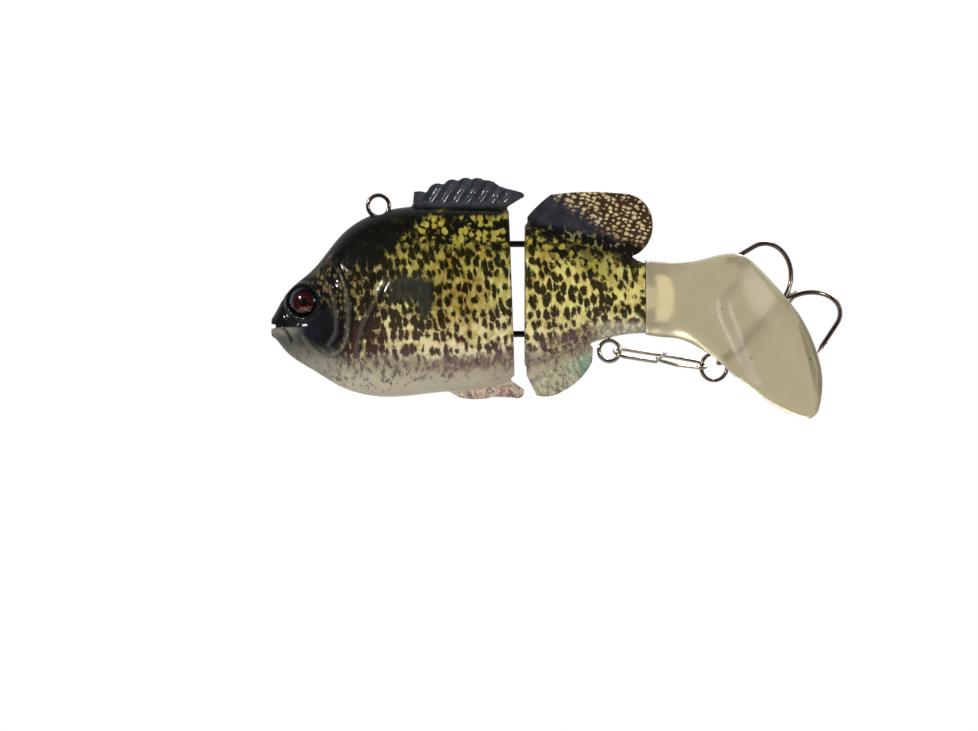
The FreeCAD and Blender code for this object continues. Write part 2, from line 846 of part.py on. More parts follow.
# ---------------------------------------------------------------------------------------------
# Soft tail: a smooth loft inside the tail's side outline, divided where it flexes
# ---------------------------------------------------------------------------------------------
TAIL_START = "dims.front_length - dims.nose_to_tie + dims.joint_gap + dims.rear_length"


def tail_loft():
    """Elliptical sections from the tail face to past the trailing edge, curling to one side."""
    half_height = (tail_face_top - tail_face_bottom) / 2
    sections = [
        ellipse(
            "tail_section_0",
            TAIL_START,
            str(tail_z),
            f"{half_height} + dims.tail_lip",
            f"dims.body_width / 2 * {REAR_STATIONS[-1][3]} + dims.tail_lip",
        )
    ]
    for n, (along, above, below, half_width) in enumerate(TAIL_STATIONS, start=1):
        curl = max(0.0, (along - 0.35) / 0.65) ** 2
        sections.append(
            ellipse(
                f"tail_section_{n}",
                f"{TAIL_START} + dims.tail_length * {along}",
                f"{tail_z} + dims.tail_height * {(above - below) / 2}",
                f"dims.tail_height * {(above + below) / 2}",
                str(half_width),
                f"-dims.tail_cup * {curl}",
            )
        )
    loft = doc.addObject("Part::Loft", "tail_loft")
    loft.Sections = sections
    loft.Solid = True
    loft.MaxDegree = 3
    return loft


def tail_outline():
    """Side view of the tail: a short top lobe, a slanting rim and a long bottom lobe."""
    length, height = size("tail_length"), size("tail_height")

    def at(along, up):
        return tail_face_x + along * length, tail_z + up * height

    proud = (tail_face_top - tail_face_bottom) / 2 + size("tail_lip") + 1.0
    points = [
        (tail_face_x - 2.0, tail_z + proud),
        at(0.05, 0.212),
        (at(0.170, 0.207), at(0.288, 0.222)),
        (at(0.395, 0.256), at(0.490, 0.267)),
        (at(0.556, 0.259), at(0.600, 0.222)),
        (at(0.791, 0.000), at(0.912, -0.191)),
        (at(0.975, -0.360), at(0.998, -0.505)),
        (at(0.988, -0.610), at(0.964, -0.700)),
        (at(0.938, -0.735), at(0.890, -0.731)),
        (at(0.690, -0.634), at(0.590, -0.536)),
        (at(0.500, -0.474), at(0.419, -0.390)),
        (at(0.258, -0.278), at(0.05, -0.232)),
        (tail_face_x - 2.0, tail_z - proud),
    ]
    return side_pad("tail_outline", outline(points), "dims.body_width")


tail_whole = common("tail_whole", tail_loft(), tail_outline())


def wrist_round(name, radius):
    """An upright cylinder about the flex axis, as tall as the tail and more."""
    made = doc.addObject("Part::Cylinder", name)
    made.Radius = radius
    made.Height = REACH
    made.Placement = Placement(Vector(wrist_x, 0, tail_z - REACH / 2), Rotation())
    return made


def block_from(name, x):
    """A block that fills everything behind x."""
    made = doc.addObject("Part::Box", name)
    made.Length = made.Width = made.Height = REACH
    made.Placement = Placement(Vector(x, -REACH / 2, tail_z - REACH / 2), Rotation())
    return made


wrist_half = between(TAIL_STATIONS, size("tail_wrist") / size("tail_length"), 3)
root_end = wrist_x - 0.25 * wrist_half
tail_root = cut(
    "tail_root",
    tail_whole,
    block_from("root_end_block", root_end),
    wrist_round("wrist_hollow", wrist_half + size("tail_gap")),
    tail_tongue,
    *tail_pins.values(),
)
sub_part(tail_root, "tail_root")
behind_wrist = fuse(
    "behind_wrist", block_from("paddle_block", wrist_x), wrist_round("wrist_ball", wrist_half)
)
tail_paddle = common("tail_paddle", tail_whole, behind_wrist)
sub_part(tail_paddle, "tail_paddle")

# ---------------------------------------------------------------------------------------------
# Hook train: snap, split ring, treble hook, each linked through the one before
# ---------------------------------------------------------------------------------------------


def direction(rise, yaw):
    """A unit vector towards the tail, raised and swung to the right flank by angles."""
    up, out = math.radians(rise), math.radians(yaw)
    return Vector(math.cos(up) * math.cos(out), math.sin(out), math.sin(up) * math.cos(out))


snap_way = direction(-size("snap_drop"), size("snap_yaw"))
ring_centre = belly_eye_centre + snap_way * size("snap_reach")
ring_normal = (Y_AXIS - snap_way * Y_AXIS.dot(snap_way)).normalize()
snap_across = Rotation(snap_way, size("snap_roll")).multVec(ring_normal)
snap_near = (
    size("belly_ring") - size("eye_wire") / 2 - size("link_clearance") - size("snap_wire") / 2
)
ring_far = (
    size("split_ring_radius")
    - size("split_ring_wire") / 2
    - size("link_clearance")
    - size("snap_wire") / 2
)


def swept(edges, radius):
    """A round wire along a path of lines and arcs."""
    path = Part.Wire(edges)
    first = path.OrderedEdges[0]
    start = first.valueAt(first.FirstParameter)
    way = first.tangentAt(first.FirstParameter)
    circle = Part.Wire([Part.makeCircle(radius, start, way)])
    return path.makePipeShell([circle], True, True, 2)


def bar(start, end, radius):
    """A straight round bar between two points."""
    return Part.makeCylinder(radius, (end - start).Length, start, end - start)


def bent_wire(edges, radius, corners):
    """Bars and bends laid end to end, with a ball at each sharp corner."""
    pieces = [swept([edge], radius) for edge in edges]
    pieces += [Part.makeSphere(radius, corner) for corner in corners]
    return pieces[0].multiFuse(pieces[1:])


def snap_shape():
    """A cross-lock snap: a spine wire, a round end in each link and two hooked wire ends."""
    wire = size("snap_wire") / 2
    half, nose = size("snap_width") / 2, size("snap_nose")
    length = size("snap_reach") - snap_near - ring_far
    spine, latch = half, -half
    over = 2 * wire + 0.12  # the hooked ends pass the spine at this height
    near_x, far_x = half, length - nose
    taper_x = far_x - 6.0  # the spine and latch close in towards the narrow nose

    def v(x, y, z=0.0):
        return Vector(x, y, z)

    latch_x = length * 0.50
    loop_edges = [
        Part.LineSegment(v(latch_x - 1.8, latch), v(near_x, latch)).toShape(),
        Part.Arc(v(near_x, latch), v(0, 0), v(near_x, spine)).toShape(),
        Part.LineSegment(v(near_x, spine), v(taper_x, spine)).toShape(),
        Part.LineSegment(v(taper_x, spine), v(far_x, nose)).toShape(),
        Part.Arc(v(far_x, nose), v(length, 0), v(far_x, -nose)).toShape(),
        Part.LineSegment(v(far_x, -nose), v(taper_x, latch)).toShape(),
        Part.LineSegment(v(taper_x, latch), v(latch_x + 3.6, latch)).toShape(),
    ]
    corners = [v(taper_x, spine), v(far_x, nose), v(far_x, -nose), v(taper_x, latch)]
    loop = bent_wire(loop_edges, wire, corners)

    def hooked_end(start_x, lean, side):
        """A wire end that crosses to the spine and hooks over it, seen from one side."""
        start, near = v(start_x, latch), v(start_x + lean * 0.8, spine - 1.4, side * over)
        over_spine = v(start_x + lean, spine + 0.1, side * over)
        far_side = v(start_x + lean, spine + 0.1, -side * over)
        crown = v(start_x + lean, spine + 0.1 + over, 0)
        hook = Part.Arc(over_spine, crown, far_side).toShape()
        bars = [bar(start, near, wire), bar(near, over_spine, wire)]
        return bent_wire([hook], wire, [start, near, over_spine, far_side]).multiFuse(bars)

    first = hooked_end(latch_x - 1.8, 3.6, 1)
    second = first.mirror(Vector(), Z_AXIS).mirror(v(latch_x + 0.9, 0), X_AXIS)
    return loop.multiFuse([first, second])


hook_snap = feature("hook_snap_wire", snap_shape())
snap_start = belly_eye_centre + snap_way * snap_near
snap_normal = snap_way.cross(snap_across)
hook_snap.Placement = Placement(
    snap_start, Rotation(snap_way, snap_across, snap_normal, "XYZ")
)
sub_part(hook_snap, "hook_snap")

# Split ring: two coils pressed together, with the two cut ends as narrow notches
coils = [
    bound(
        "Part::Torus",
        f"split_ring_coil_{n}",
        Placement(
            ring_centre + ring_normal * (way * size("split_ring_pitch") / 2),
            Rotation(Z_AXIS, ring_normal),
        ),
        Radius1="dims.split_ring_radius",
        Radius2="dims.split_ring_wire / 2",
    )
    for n, way in enumerate((-1, 1))
]
notches = []
for n, way in enumerate((-1, 1)):
    notch = doc.addObject("Part::Box", f"split_ring_notch_{n}")
    notch.Length, notch.Width, notch.Height = 0.2, 3.0, 0.6
    turn = Rotation(Z_AXIS, ring_normal).multiply(Rotation(Z_AXIS, 200 + 40 * n))
    offset = Vector(-0.1, size("split_ring_radius") - 1.5, 0.2 if way > 0 else -0.8)
    notch.Placement = Placement(ring_centre, turn).multiply(Placement(offset, Rotation()))
    notches.append(notch)
split_ring = cut("split_ring", fuse("split_ring_coils", *coils), *notches)
sub_part(split_ring, "split_ring")

# Treble hook: an eye, a brazed shank and three barbed arms spaced evenly round it
hook_way = direction(size("hook_rise"), size("hook_yaw"))
eye_out = (hook_way - ring_normal * hook_way.dot(ring_normal)).normalize()
hook_origin = ring_centre + eye_out * size("split_ring_radius")
eye_axis = ring_normal.cross(eye_out)


def hook_arm():
    """One arm in the XZ plane of the hook: shank wire, bend, leg, point and barb."""
    wire, bend = size("hook_wire") / 2, size("hook_bend")
    start, turn = size("hook_shank"), math.radians(size("hook_turn"))
    offset = wire * 0.9  # the three wires lie side by side round the shank's axis

    def on_bend(angle):
        return Vector(
            start + bend * math.sin(angle), 0, offset + bend * (1 - math.cos(angle))
        )

    leg_way = Vector(math.cos(turn), 0, math.sin(turn))
    leg_start = on_bend(turn)
    leg_end = leg_start + leg_way * size("hook_leg")
    path = [
        Part.LineSegment(Vector(start * 0.55, 0, offset), Vector(start, 0, offset)).toShape(),
        Part.Arc(on_bend(0), on_bend(turn / 2), leg_start).toShape(),
        Part.LineSegment(leg_start, leg_end).toShape(),
    ]
    arm = swept(path, wire)
    point = Part.makeCone(wire, 0.08, size("hook_point"), leg_end, leg_way)
    inward = Vector(leg_way.z, 0, -leg_way.x)  # towards the shank
    barb_root = leg_end - leg_way * 0.6
    barb_way = (inward * 0.75 - leg_way).normalize()
    barb = Part.makeCone(
        wire * 0.62, 0.08, size("hook_barb"), barb_root + leg_way * 0.3, barb_way
    )
    return arm.multiFuse([point, barb])


def hook_shape():
    """The whole hook, with its eye at the origin and its shank along X."""
    ring = size("hook_eye")
    eye = Part.makeTorus(ring, size("hook_wire") / 2, Vector(), Y_AXIS)
    shank = Part.makeCylinder(
        size("hook_shank_diameter") / 2,
        size("hook_shank") - ring - 1.5,
        Vector(ring, 0, 0),
        X_AXIS,
    )
    arms = []
    for n in range(3):
        arm = hook_arm()
        arm.rotate(Vector(), X_AXIS, size("hook_roll") + 120 * n)
        arms.append(arm)
    return shank.multiFuse([eye] + arms)


treble_hook = feature("treble_hook_wire", hook_shape())
treble_hook.Placement = Placement(
    hook_origin, Rotation(hook_way, eye_axis, hook_way.cross(eye_axis), "XYZ")
)
sub_part(treble_hook, "treble_hook")

# ---------------------------------------------------------------------------------------------
# Build, check and write
# ---------------------------------------------------------------------------------------------


def check_document():
    doc.recompute()
    failed = [o.Name for o in doc.Objects if {"Invalid", "Error"} & set(o.State)]
    if failed:
        raise RuntimeError(f"objects that failed to build: {failed}")
    for node, obj in sub_parts:
        shape = obj.Shape
        if shape.isNull() or not shape.isValid() or not shape.Solids:
            raise RuntimeError(f"{node} is not a valid solid")


def write_parts():
    os.makedirs("parts", exist_ok=True)
    for node, obj in sub_parts:
        obj.Shape.exportStep(f"parts/{node}.step")
        solids = obj.Shape.Solids
        print(f"{node:20s} {len(solids)} solid(s) {sum(s.Volume for s in solids):9.2f} mm3")


check_document()
write_parts()
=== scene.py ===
import math

import bmesh
import bpy
import numpy as np
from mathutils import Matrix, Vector


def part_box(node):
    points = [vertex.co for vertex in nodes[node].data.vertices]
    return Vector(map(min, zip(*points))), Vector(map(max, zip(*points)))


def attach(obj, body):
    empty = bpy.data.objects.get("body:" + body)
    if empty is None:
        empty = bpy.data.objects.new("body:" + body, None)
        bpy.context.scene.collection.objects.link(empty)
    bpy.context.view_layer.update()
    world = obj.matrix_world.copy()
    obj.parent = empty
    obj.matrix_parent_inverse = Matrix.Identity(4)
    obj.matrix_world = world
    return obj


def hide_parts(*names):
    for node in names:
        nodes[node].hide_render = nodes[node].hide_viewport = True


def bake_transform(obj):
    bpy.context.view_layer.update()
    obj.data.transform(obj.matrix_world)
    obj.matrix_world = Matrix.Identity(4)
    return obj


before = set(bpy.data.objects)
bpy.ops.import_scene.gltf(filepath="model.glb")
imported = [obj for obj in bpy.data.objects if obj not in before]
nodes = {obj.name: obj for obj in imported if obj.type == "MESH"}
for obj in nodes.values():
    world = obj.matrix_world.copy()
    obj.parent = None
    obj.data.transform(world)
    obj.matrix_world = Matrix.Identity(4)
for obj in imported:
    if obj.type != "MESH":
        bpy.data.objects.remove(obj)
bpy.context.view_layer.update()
MM = 0.001


# ---------------------------------------------------------------------------------------------
# Places, in millimetres, read from the model's parts
# ---------------------------------------------------------------------------------------------
def box_mm(node):
    low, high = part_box(node)
    return Vector(low) / MM, Vector(high) / MM


def middle_mm(node):
    low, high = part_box(node)
    return (Vector(low) + Vector(high)) / 2 / MM


TAIL_ROOT_LOW, TAIL_ROOT_HIGH = box_mm("tail_root")
TAIL_FACE_X = TAIL_ROOT_LOW.x
TAIL_AXIS_Z = (TAIL_ROOT_LOW.z + TAIL_ROOT_HIGH.z) / 2
TONGUE_Z = TAIL_AXIS_Z + 0.3
EYE = {side: middle_mm(f"{side}_iris") for side in ("left", "right")}


# ---------------------------------------------------------------------------------------------
# A small kit for node trees
# ---------------------------------------------------------------------------------------------
class Tree:
    """Builds a node tree by writing expressions."""

    def __init__(self, tree):
        self.tree = tree
        self.tree.nodes.clear()

    def new(self, kind, **settings):
        node = self.tree.nodes.new("ShaderNode" + kind)
        for name, value in settings.items():
            setattr(node, name, value)
        return node

    def link(self, source, target):
        self.tree.links.new(source, target)

    def put(self, socket, value):
        if isinstance(value, bpy.types.NodeSocket):
            self.link(value, socket)
        else:
            socket.default_value = value

    def fed(self, node, *values):
        """A node's first output, once its first inputs have these values."""
        for socket, value in zip(node.inputs, values):
            self.put(socket, value)
        return node.outputs[0]

    def math(self, operation, *values):
        return self.fed(self.new("Math", operation=operation), *values)

    def vector_math(self, operation, *values):
        return self.fed(self.new("VectorMath", operation=operation), *values)

    def vector(self, x, y, z):
        return self.fed(self.new("CombineXYZ"), x, y, z)

    def split(self, place):
        node = self.new("SeparateXYZ")
        self.link(place, node.inputs[0])
        return node.outputs

    def add(self, first, *others):
        for other in others:
            first = self.math("ADD", first, other)
        return first

    def sub(self, a, b):
        return self.math("SUBTRACT", a, b)

    def mul(self, a, b):
        return self.math("MULTIPLY", a, b)

    def most(self, a, b):
        return self.math("MAXIMUM", a, b)

    def unsigned(self, value):
        """A value without its sign."""
        return self.math("ABSOLUTE", value)

    def length(self, a, b):
        """How far the place (a, b) lies from (0, 0)."""
        return self.math("SQRT", self.add(self.mul(a, a), self.mul(b, b)))

    def push(self, value, reach):
        """A value from 0 to 1 as a push either way, reach apart from end to end."""
        return self.mul(self.sub(value, 0.5), reach)

    def span(self, value, low, high, to_low=0.0, to_high=1.0):
        """0 to 1 (or to_low to to_high) as value goes from low to high, smoothly."""
        node = self.new("MapRange", interpolation_type="SMOOTHSTEP")
        for name, v in (("Value", value), ("From Min", low), ("From Max", high),
                        ("To Min", to_low), ("To Max", to_high)):
            self.put(node.inputs[name], v)
        return node.outputs["Result"]


class Material(Tree):
    """A material. Its places are the object's own, in millimetres."""

    def __init__(self, name):
        self.material = bpy.data.materials.new(name)
        self.material.use_nodes = True
        super().__init__(self.material.node_tree)
        self.output = self.new("OutputMaterial")
        coords = self.new("TexCoord")
        self.place = self.vector_math("MULTIPLY", coords.outputs["Object"], (1 / MM,) * 3)
        self.x, self.y, self.z = self.split(self.place)
        self.normal = coords.outputs["Normal"]

    def noise(self, size, detail=2.0, rough=0.5, place=None, stretch=None):
        """Noise from 0 to 1 whose features are about size mm across."""
        place = place or self.place
        if stretch:
            place = self.vector_math("DIVIDE", place, stretch)
        node = self.new("TexNoise")
        node.inputs["Scale"].default_value = 1.0 / size
        node.inputs["Detail"].default_value = detail
        node.inputs["Roughness"].default_value = rough
        self.link(place, node.inputs["Vector"])
        return node.outputs["Fac"]

    def warped(self, size, amount):
        """The place, pushed about by noise of the given size, by up to amount mm."""
        node = self.new("TexNoise")
        node.inputs["Scale"].default_value = 1.0 / size
        node.inputs["Detail"].default_value = 2.0
        self.link(self.place, node.inputs["Vector"])
        push = self.vector_math(
            "MULTIPLY_ADD", node.outputs["Color"], (2 * amount,) * 3, (-amount,) * 3)
        return self.vector_math("ADD", self.place, push)

    def cells(self, size, across, up, tall=1.0, random=1.0):
        """Flat cells about size mm wide and tall times as high: distance and cell colour."""
        node = self.new("TexVoronoi", voronoi_dimensions="2D")
        node.inputs["Scale"].default_value = 1.0 / size
        node.inputs["Randomness"].default_value = random
        self.link(self.vector(across, self.mul(up, 1.0 / tall), 0.0), node.inputs["Vector"])
        return node.outputs["Distance"], node.outputs["Color"]

    def mix(self, share, low, high, blend="MIX"):
        node = self.new("Mix", data_type="RGBA", blend_type=blend)
        for name, value in (("Factor", share), ("A", low), ("B", high)):
            self.put(node.inputs[name], value)
        return node.outputs["Result"]

    def attribute(self, name):
        return self.new("Attribute", attribute_name=name).outputs["Fac"]

    def bump(self, height, depth):
        """A bump whose height of 1 stands depth mm out of the surface."""
        node = self.new("Bump")
        node.inputs["Strength"].default_value = 1.0
        node.inputs["Distance"].default_value = depth * MM
        self.put(node.inputs["Height"], height)
        return node.outputs[0]

    def finish(self, **settings):
        """Ends the tree in a shader whose inputs have these settings."""
        shader = self.new("BsdfPrincipled")
        for name, value in settings.items():
            self.put(shader.inputs[name.replace("_", " ")], value)
        self.link(shader.outputs[0], self.output.inputs["Surface"])
        return self.material


def rgb(red, green, blue):
    """A colour from 0 to 255 as it looks on a screen, as linear light."""
    def linear(v):
        v /= 255
        return v / 12.92 if v <= 0.04045 else ((v + 0.055) / 1.055) ** 2.4
    return (linear(red), linear(green), linear(blue), 1.0)


# ---------------------------------------------------------------------------------------------
# Painted resin: a printed panfish pattern under a clear coat
# ---------------------------------------------------------------------------------------------
class PrintedSkin(Material):
    """The painted resin's material, with the grain and scales that its layers share."""

    def __init__(self, name):
        super().__init__(name)
        self.fine = self.noise(0.6, 4.0, 0.65)
        self.rough = self.noise(2.4, 4.0, 0.6)
        self.patch = self.noise(7.0, 3.0, 0.6, stretch=(1.0, 1.0, 1.3))
        self.streak = self.noise(0.95, 3.0, 0.6, stretch=(1.0, 1.0, 2.6))
        self.drip = self.noise(1.3, 4.0, 0.7, stretch=(1.0, 1.0, 2.6))
        self.fuzz = self.push(self.rough, 5.0)
        # on rims and joint faces, which look away from the flank, the print turns to run across them
        wx, wy, wz = self.split(self.warped(3.0, 0.75))
        rim = self.span(self.unsigned(self.split(self.normal)[1]), 0.55, 0.35)
        turned = self.vector(wy, self.add(wz, self.mul(wx, 0.6)), 0.0)
        self.across, self.up, _ = self.split(self.mix(rim, self.vector(wx, wz, 0.0), turned))
        self.distance, self.mark = self.printed_marks()

    def printed_marks(self):
        """One scale to each staggered cell: the distance from its middle, and its tall dark mark."""
        slanted = self.add(self.across, self.mul(self.sub(self.up, -20.0), 0.14))
        distance, cell = self.cells(1.75, slanted, self.up, 1.75, 0.62)
        level = self.add(
            self.span(self.z, -18.0, -7.0, 0.40, 0.60),
            self.span(self.x, 12.0, -5.0, 0.0, 0.17),
            self.span(self.z, -23.0, -27.0, 0.0, 0.04),
            self.push(self.patch, 0.62),
            self.push(self.split(cell)[0], 0.26),
            self.push(self.streak, 1.05),
            self.push(self.fine, 0.55),
            self.span(self.z, -33.0, -39.0, 0.0, -0.06))
        return distance, self.span(self.sub(distance, level), 0.16, -0.13)

    def tones(self, dark, light):
        """Two tones of a colour, clouded into each other."""
        return self.mix(self.rough, dark, light)

    def about(self, cx, cz, rx, rz, ragged=1.0, slope=0.0, soft=0.2):
        """1 inside an oval round a place, 0 outside it, with a ragged edge."""
        dx = self.mul(self.sub(self.x, cx), 1.0 / rx)
        tilt = self.mul(self.sub(self.x, cx), slope)
        dz = self.mul(self.sub(self.sub(self.z, cz), tilt), 1.0 / rz)
        far = self.add(self.length(dx, dz), self.push(self.noise(1.9, 5.0, 0.7), ragged))
        return self.span(far, 1.0 + soft, 1.0 - soft)


def flank(n):
    """Lemon under dark marks, deeper on the back and towards the head."""
    skin = n.mix(n.span(n.z, -8.0, -19.0), rgb(138, 128, 48), rgb(182, 170, 92))
    rearward = n.mul(n.span(n.x, 34.0, 42.0, 0.0, 0.75), n.span(n.z, -9.0, -16.0))
    skin = n.mix(rearward, skin, rgb(222, 206, 118))
    skin = n.mix(n.span(n.z, -22.0, -33.0), skin, rgb(222, 206, 152))
    skin = n.mix(n.span(n.z, -33.0, -38.0), skin, rgb(216, 206, 174))
    skin = n.mix(n.span(n.noise(4.0, 3.0), 0.48, 0.66, 0.0, 0.8), skin, rgb(158, 134, 54))
    skin = n.mix(n.span(n.x, 9.0, -4.0, 0.0, 0.82), skin, rgb(98, 85, 54))
    pale = n.mul(n.span(n.streak, 0.50, 0.30), n.span(n.z, -12.0, -24.0, 0.15, 0.75))
    skin = n.mix(pale, skin, rgb(234, 226, 168))
    ink = n.mix(n.span(n.z, -22.0, -37.0), rgb(8, 8, 5), rgb(58, 36, 34))
    ink = n.mix(n.span(n.fine, 0.5, 0.85, 0.0, 0.35), ink, rgb(52, 43, 24))
    return n.mix(n.mul(n.mark, 0.96), skin, ink)


def pectoral_fin(n, skin):
    """Ochre and olive behind the fin, and the fin's own dark print."""
    rust = n.mul(n.about(17.5, -22.5, 9.5, 9.0, 2.2, 0.0, 0.4), 0.74)
    ochre = n.tones((0.30, 0.24, 0.13, 1), (0.75, 0.60, 0.26, 1))
    skin = n.mix(rust, skin, ochre, "MULTIPLY")
    fin = n.most(n.about(7.6, -20.9, 5.9, 3.7, 2.0, 0.12, 0.3),
                 n.about(11.6, -24.6, 2.5, 4.0, 2.2, 0.0, 0.3))
    return n.mix(n.mul(fin, 0.96), skin, n.mix(n.noise(1.2, 4.0, 0.65), rgb(16, 17, 15), rgb(62, 64, 56)))


def belly(n, skin):
    """Grey cream with drips of mauve, greyer towards the nose and silvery near the tail."""
    cream = n.mix(n.span(n.z, -38.0, -46.0), rgb(154, 142, 116), rgb(190, 180, 158))
    cream = n.mix(n.span(n.fine, 0.45, 0.8, 0.0, 0.5), cream, rgb(206, 198, 172))
    mauve = n.mix(n.fine, rgb(62, 40, 46), rgb(132, 100, 96))
    mauve = n.mix(n.span(n.x, 12.0, 2.0), mauve, n.mix(n.fine, rgb(50, 46, 44), rgb(112, 106, 98)))
    slope = n.mul(n.most(n.sub(n.x, 18.0), 0.0), 0.10)
    depth = n.sub(n.sub(n.z, -39.5), slope)
    drips = n.span(n.add(n.drip, n.mul(depth, 0.022), n.span(n.x, 16.0, 4.0, 0.0, 0.05)), 0.44, 0.60)
    rise = n.span(n.x, 40.0, 66.0, 0.0, 8.0)
    edge = n.add(n.sub(n.sub(n.z, -38.6), rise), n.push(n.drip, 11.0), n.span(n.x, 24.0, 34.0, 0.0, -1.5))
    skin = n.mix(n.span(edge, 2.5, -2.0), skin, n.mix(n.mul(drips, 0.88), cream, mauve))
    band = n.most(n.about(23.5, -38.8, 10.0, 2.0, 1.9, 0.14, 0.3),
                  n.about(50.0, -32.6, 9.5, 1.8, 1.9, 0.22, 0.3))
    band = n.mul(band, n.span(n.add(n.streak, n.mul(n.fine, 0.5)), 0.60, 0.80, 0.25, 1.0))
    skin = n.mix(n.mul(band, 0.75), skin, n.mix(n.fine, rgb(58, 36, 42), rgb(128, 94, 92)))
    silver = n.mul(n.span(n.add(n.z, n.mul(n.fuzz, 0.4)), -28.4, -30.0),
                   n.span(n.add(n.x, n.fuzz), 52.0, 57.0))
    grey = n.mix(n.span(n.streak, 0.35, 0.65), rgb(226, 220, 192), rgb(150, 142, 112))
    return n.mix(n.mul(silver, 0.85), skin, grey)


def back(n, skin):
    """Nearly black, a little green, down to the shoulder, with clusters of lemon spots behind it."""
    night = n.tones(rgb(4, 5, 4), rgb(22, 25, 19))
    top_line = n.span(n.x, 36.0, 66.0, 0.0, -11.0)
    height = n.add(n.sub(n.z, top_line), n.push(n.patch, 8.0))
    skin = n.mix(n.span(height, -5.0, -1.8, 0.0, 0.92), skin, night)
    nape_edge = n.sub(n.z, n.add(-13.5, n.most(n.mul(n.x, 0.95), n.mul(n.x, 0.35))))
    nape_edge = n.add(nape_edge, n.fuzz)
    high = n.mul(n.span(n.add(height, n.fuzz), -12.6, -8.2), n.span(height, -1.2, -3.0))
    high = n.mul(high, n.mul(n.span(nape_edge, 0.5, -2.5), n.span(n.x, 62.0, 50.0, 0.15, 1.0)))
    skin = n.mix(n.mul(high, 0.72), skin, night)
    spot, cell = n.cells(1.6, n.add(n.across, 7.3), n.up, 1.2, 0.75)
    spot = n.add(spot, n.add(n.push(n.streak, 0.9), n.push(n.fine, 0.5)))
    cluster = n.add(n.noise(4.5, 2.0, stretch=(1.3, 1.0, 1.0)), n.mul(n.split(cell)[1], 0.35))
    spot = n.mul(n.span(spot, 0.56, 0.34), n.span(cluster, 0.665, 0.76))
    gold = n.mix(n.noise(1.4, 4.0, 0.65), rgb(112, 100, 34), rgb(216, 200, 92))
    skin = n.mix(n.mul(n.mul(high, spot), 0.92), skin, gold)
    return n.mix(n.span(nape_edge, -2.0, 1.5, 0.0, 0.95), skin, night)


def head(n, skin):
    """Slate cheeks, a black brow, tan flecks behind the eye, a pale jaw and a black snout."""
    slate = n.tones(rgb(5, 6, 8), rgb(28, 29, 32))
    slate = n.mix(n.span(n.z, -21.0, -17.0), slate, n.tones(rgb(4, 4, 3), rgb(22, 22, 15)))
    slate = n.mix(n.about(-19.0, -31.5, 4.5, 2.6), slate, rgb(24, 27, 38))
    jaw = n.mix(n.span(n.z, -34.0, -41.0), rgb(84, 84, 78), rgb(150, 145, 130))
    jaw = n.mix(n.span(n.drip, 0.48, 0.66, 0.0, 0.65), jaw, rgb(66, 62, 58))
    jaw_line = n.add(n.sub(n.z, -34.0), n.add(n.mul(n.sub(n.x, -18.0), 0.32), n.fuzz))
    slate = n.mix(n.span(jaw_line, 1.5, -2.5), slate, jaw)
    bow = n.mul(n.sub(n.z, -26.0), 0.1)
    head_edge = n.add(n.x, n.mul(n.mul(bow, bow), 1.6), n.mul(n.fuzz, 0.7))
    skin = n.mix(n.span(head_edge, -5.5, -9.0), skin, slate)
    tan, _ = n.cells(1.2, n.across, n.up, 1.4, 0.8)
    tan = n.add(tan, n.add(n.push(n.fine, 0.8), n.push(n.streak, 0.7)))
    tan = n.mul(n.span(tan, 0.40, 0.14), n.about(-10.0, -20.5, 6.5, 5.5, 2.0, -0.3, 0.4))
    skin = n.mix(n.mul(tan, 0.75), skin, n.tones(rgb(84, 66, 36), rgb(160, 138, 86)))
    skin = n.mix(n.span(n.x, -21.5, -24.0, 0.0, 0.92), skin, n.tones(rgb(7, 7, 8), rgb(24, 24, 27)))
    lip = n.mul(n.span(n.z, -30.1, -30.7), n.span(n.x, -17.5, -22.5))
    lip_grey = n.tones(rgb(92, 90, 84), rgb(150, 146, 134))
    return n.mix(lip, skin, n.mix(n.span(n.z, -31.0, -33.5), lip_grey, jaw))


def spiny_fin(n, skin):
    """Slate, with breaths of mauve."""
    fin = n.mul(n.span(n.z, -1.0, 0.8), n.span(n.x, 38.5, 37.5))
    membrane = n.tones(rgb(26, 30, 36), rgb(80, 84, 92))
    membrane = n.mix(n.span(n.noise(3.0), 0.5, 0.7, 0.0, 0.6), membrane, rgb(58, 46, 54))
    return n.mix(fin, skin, membrane)


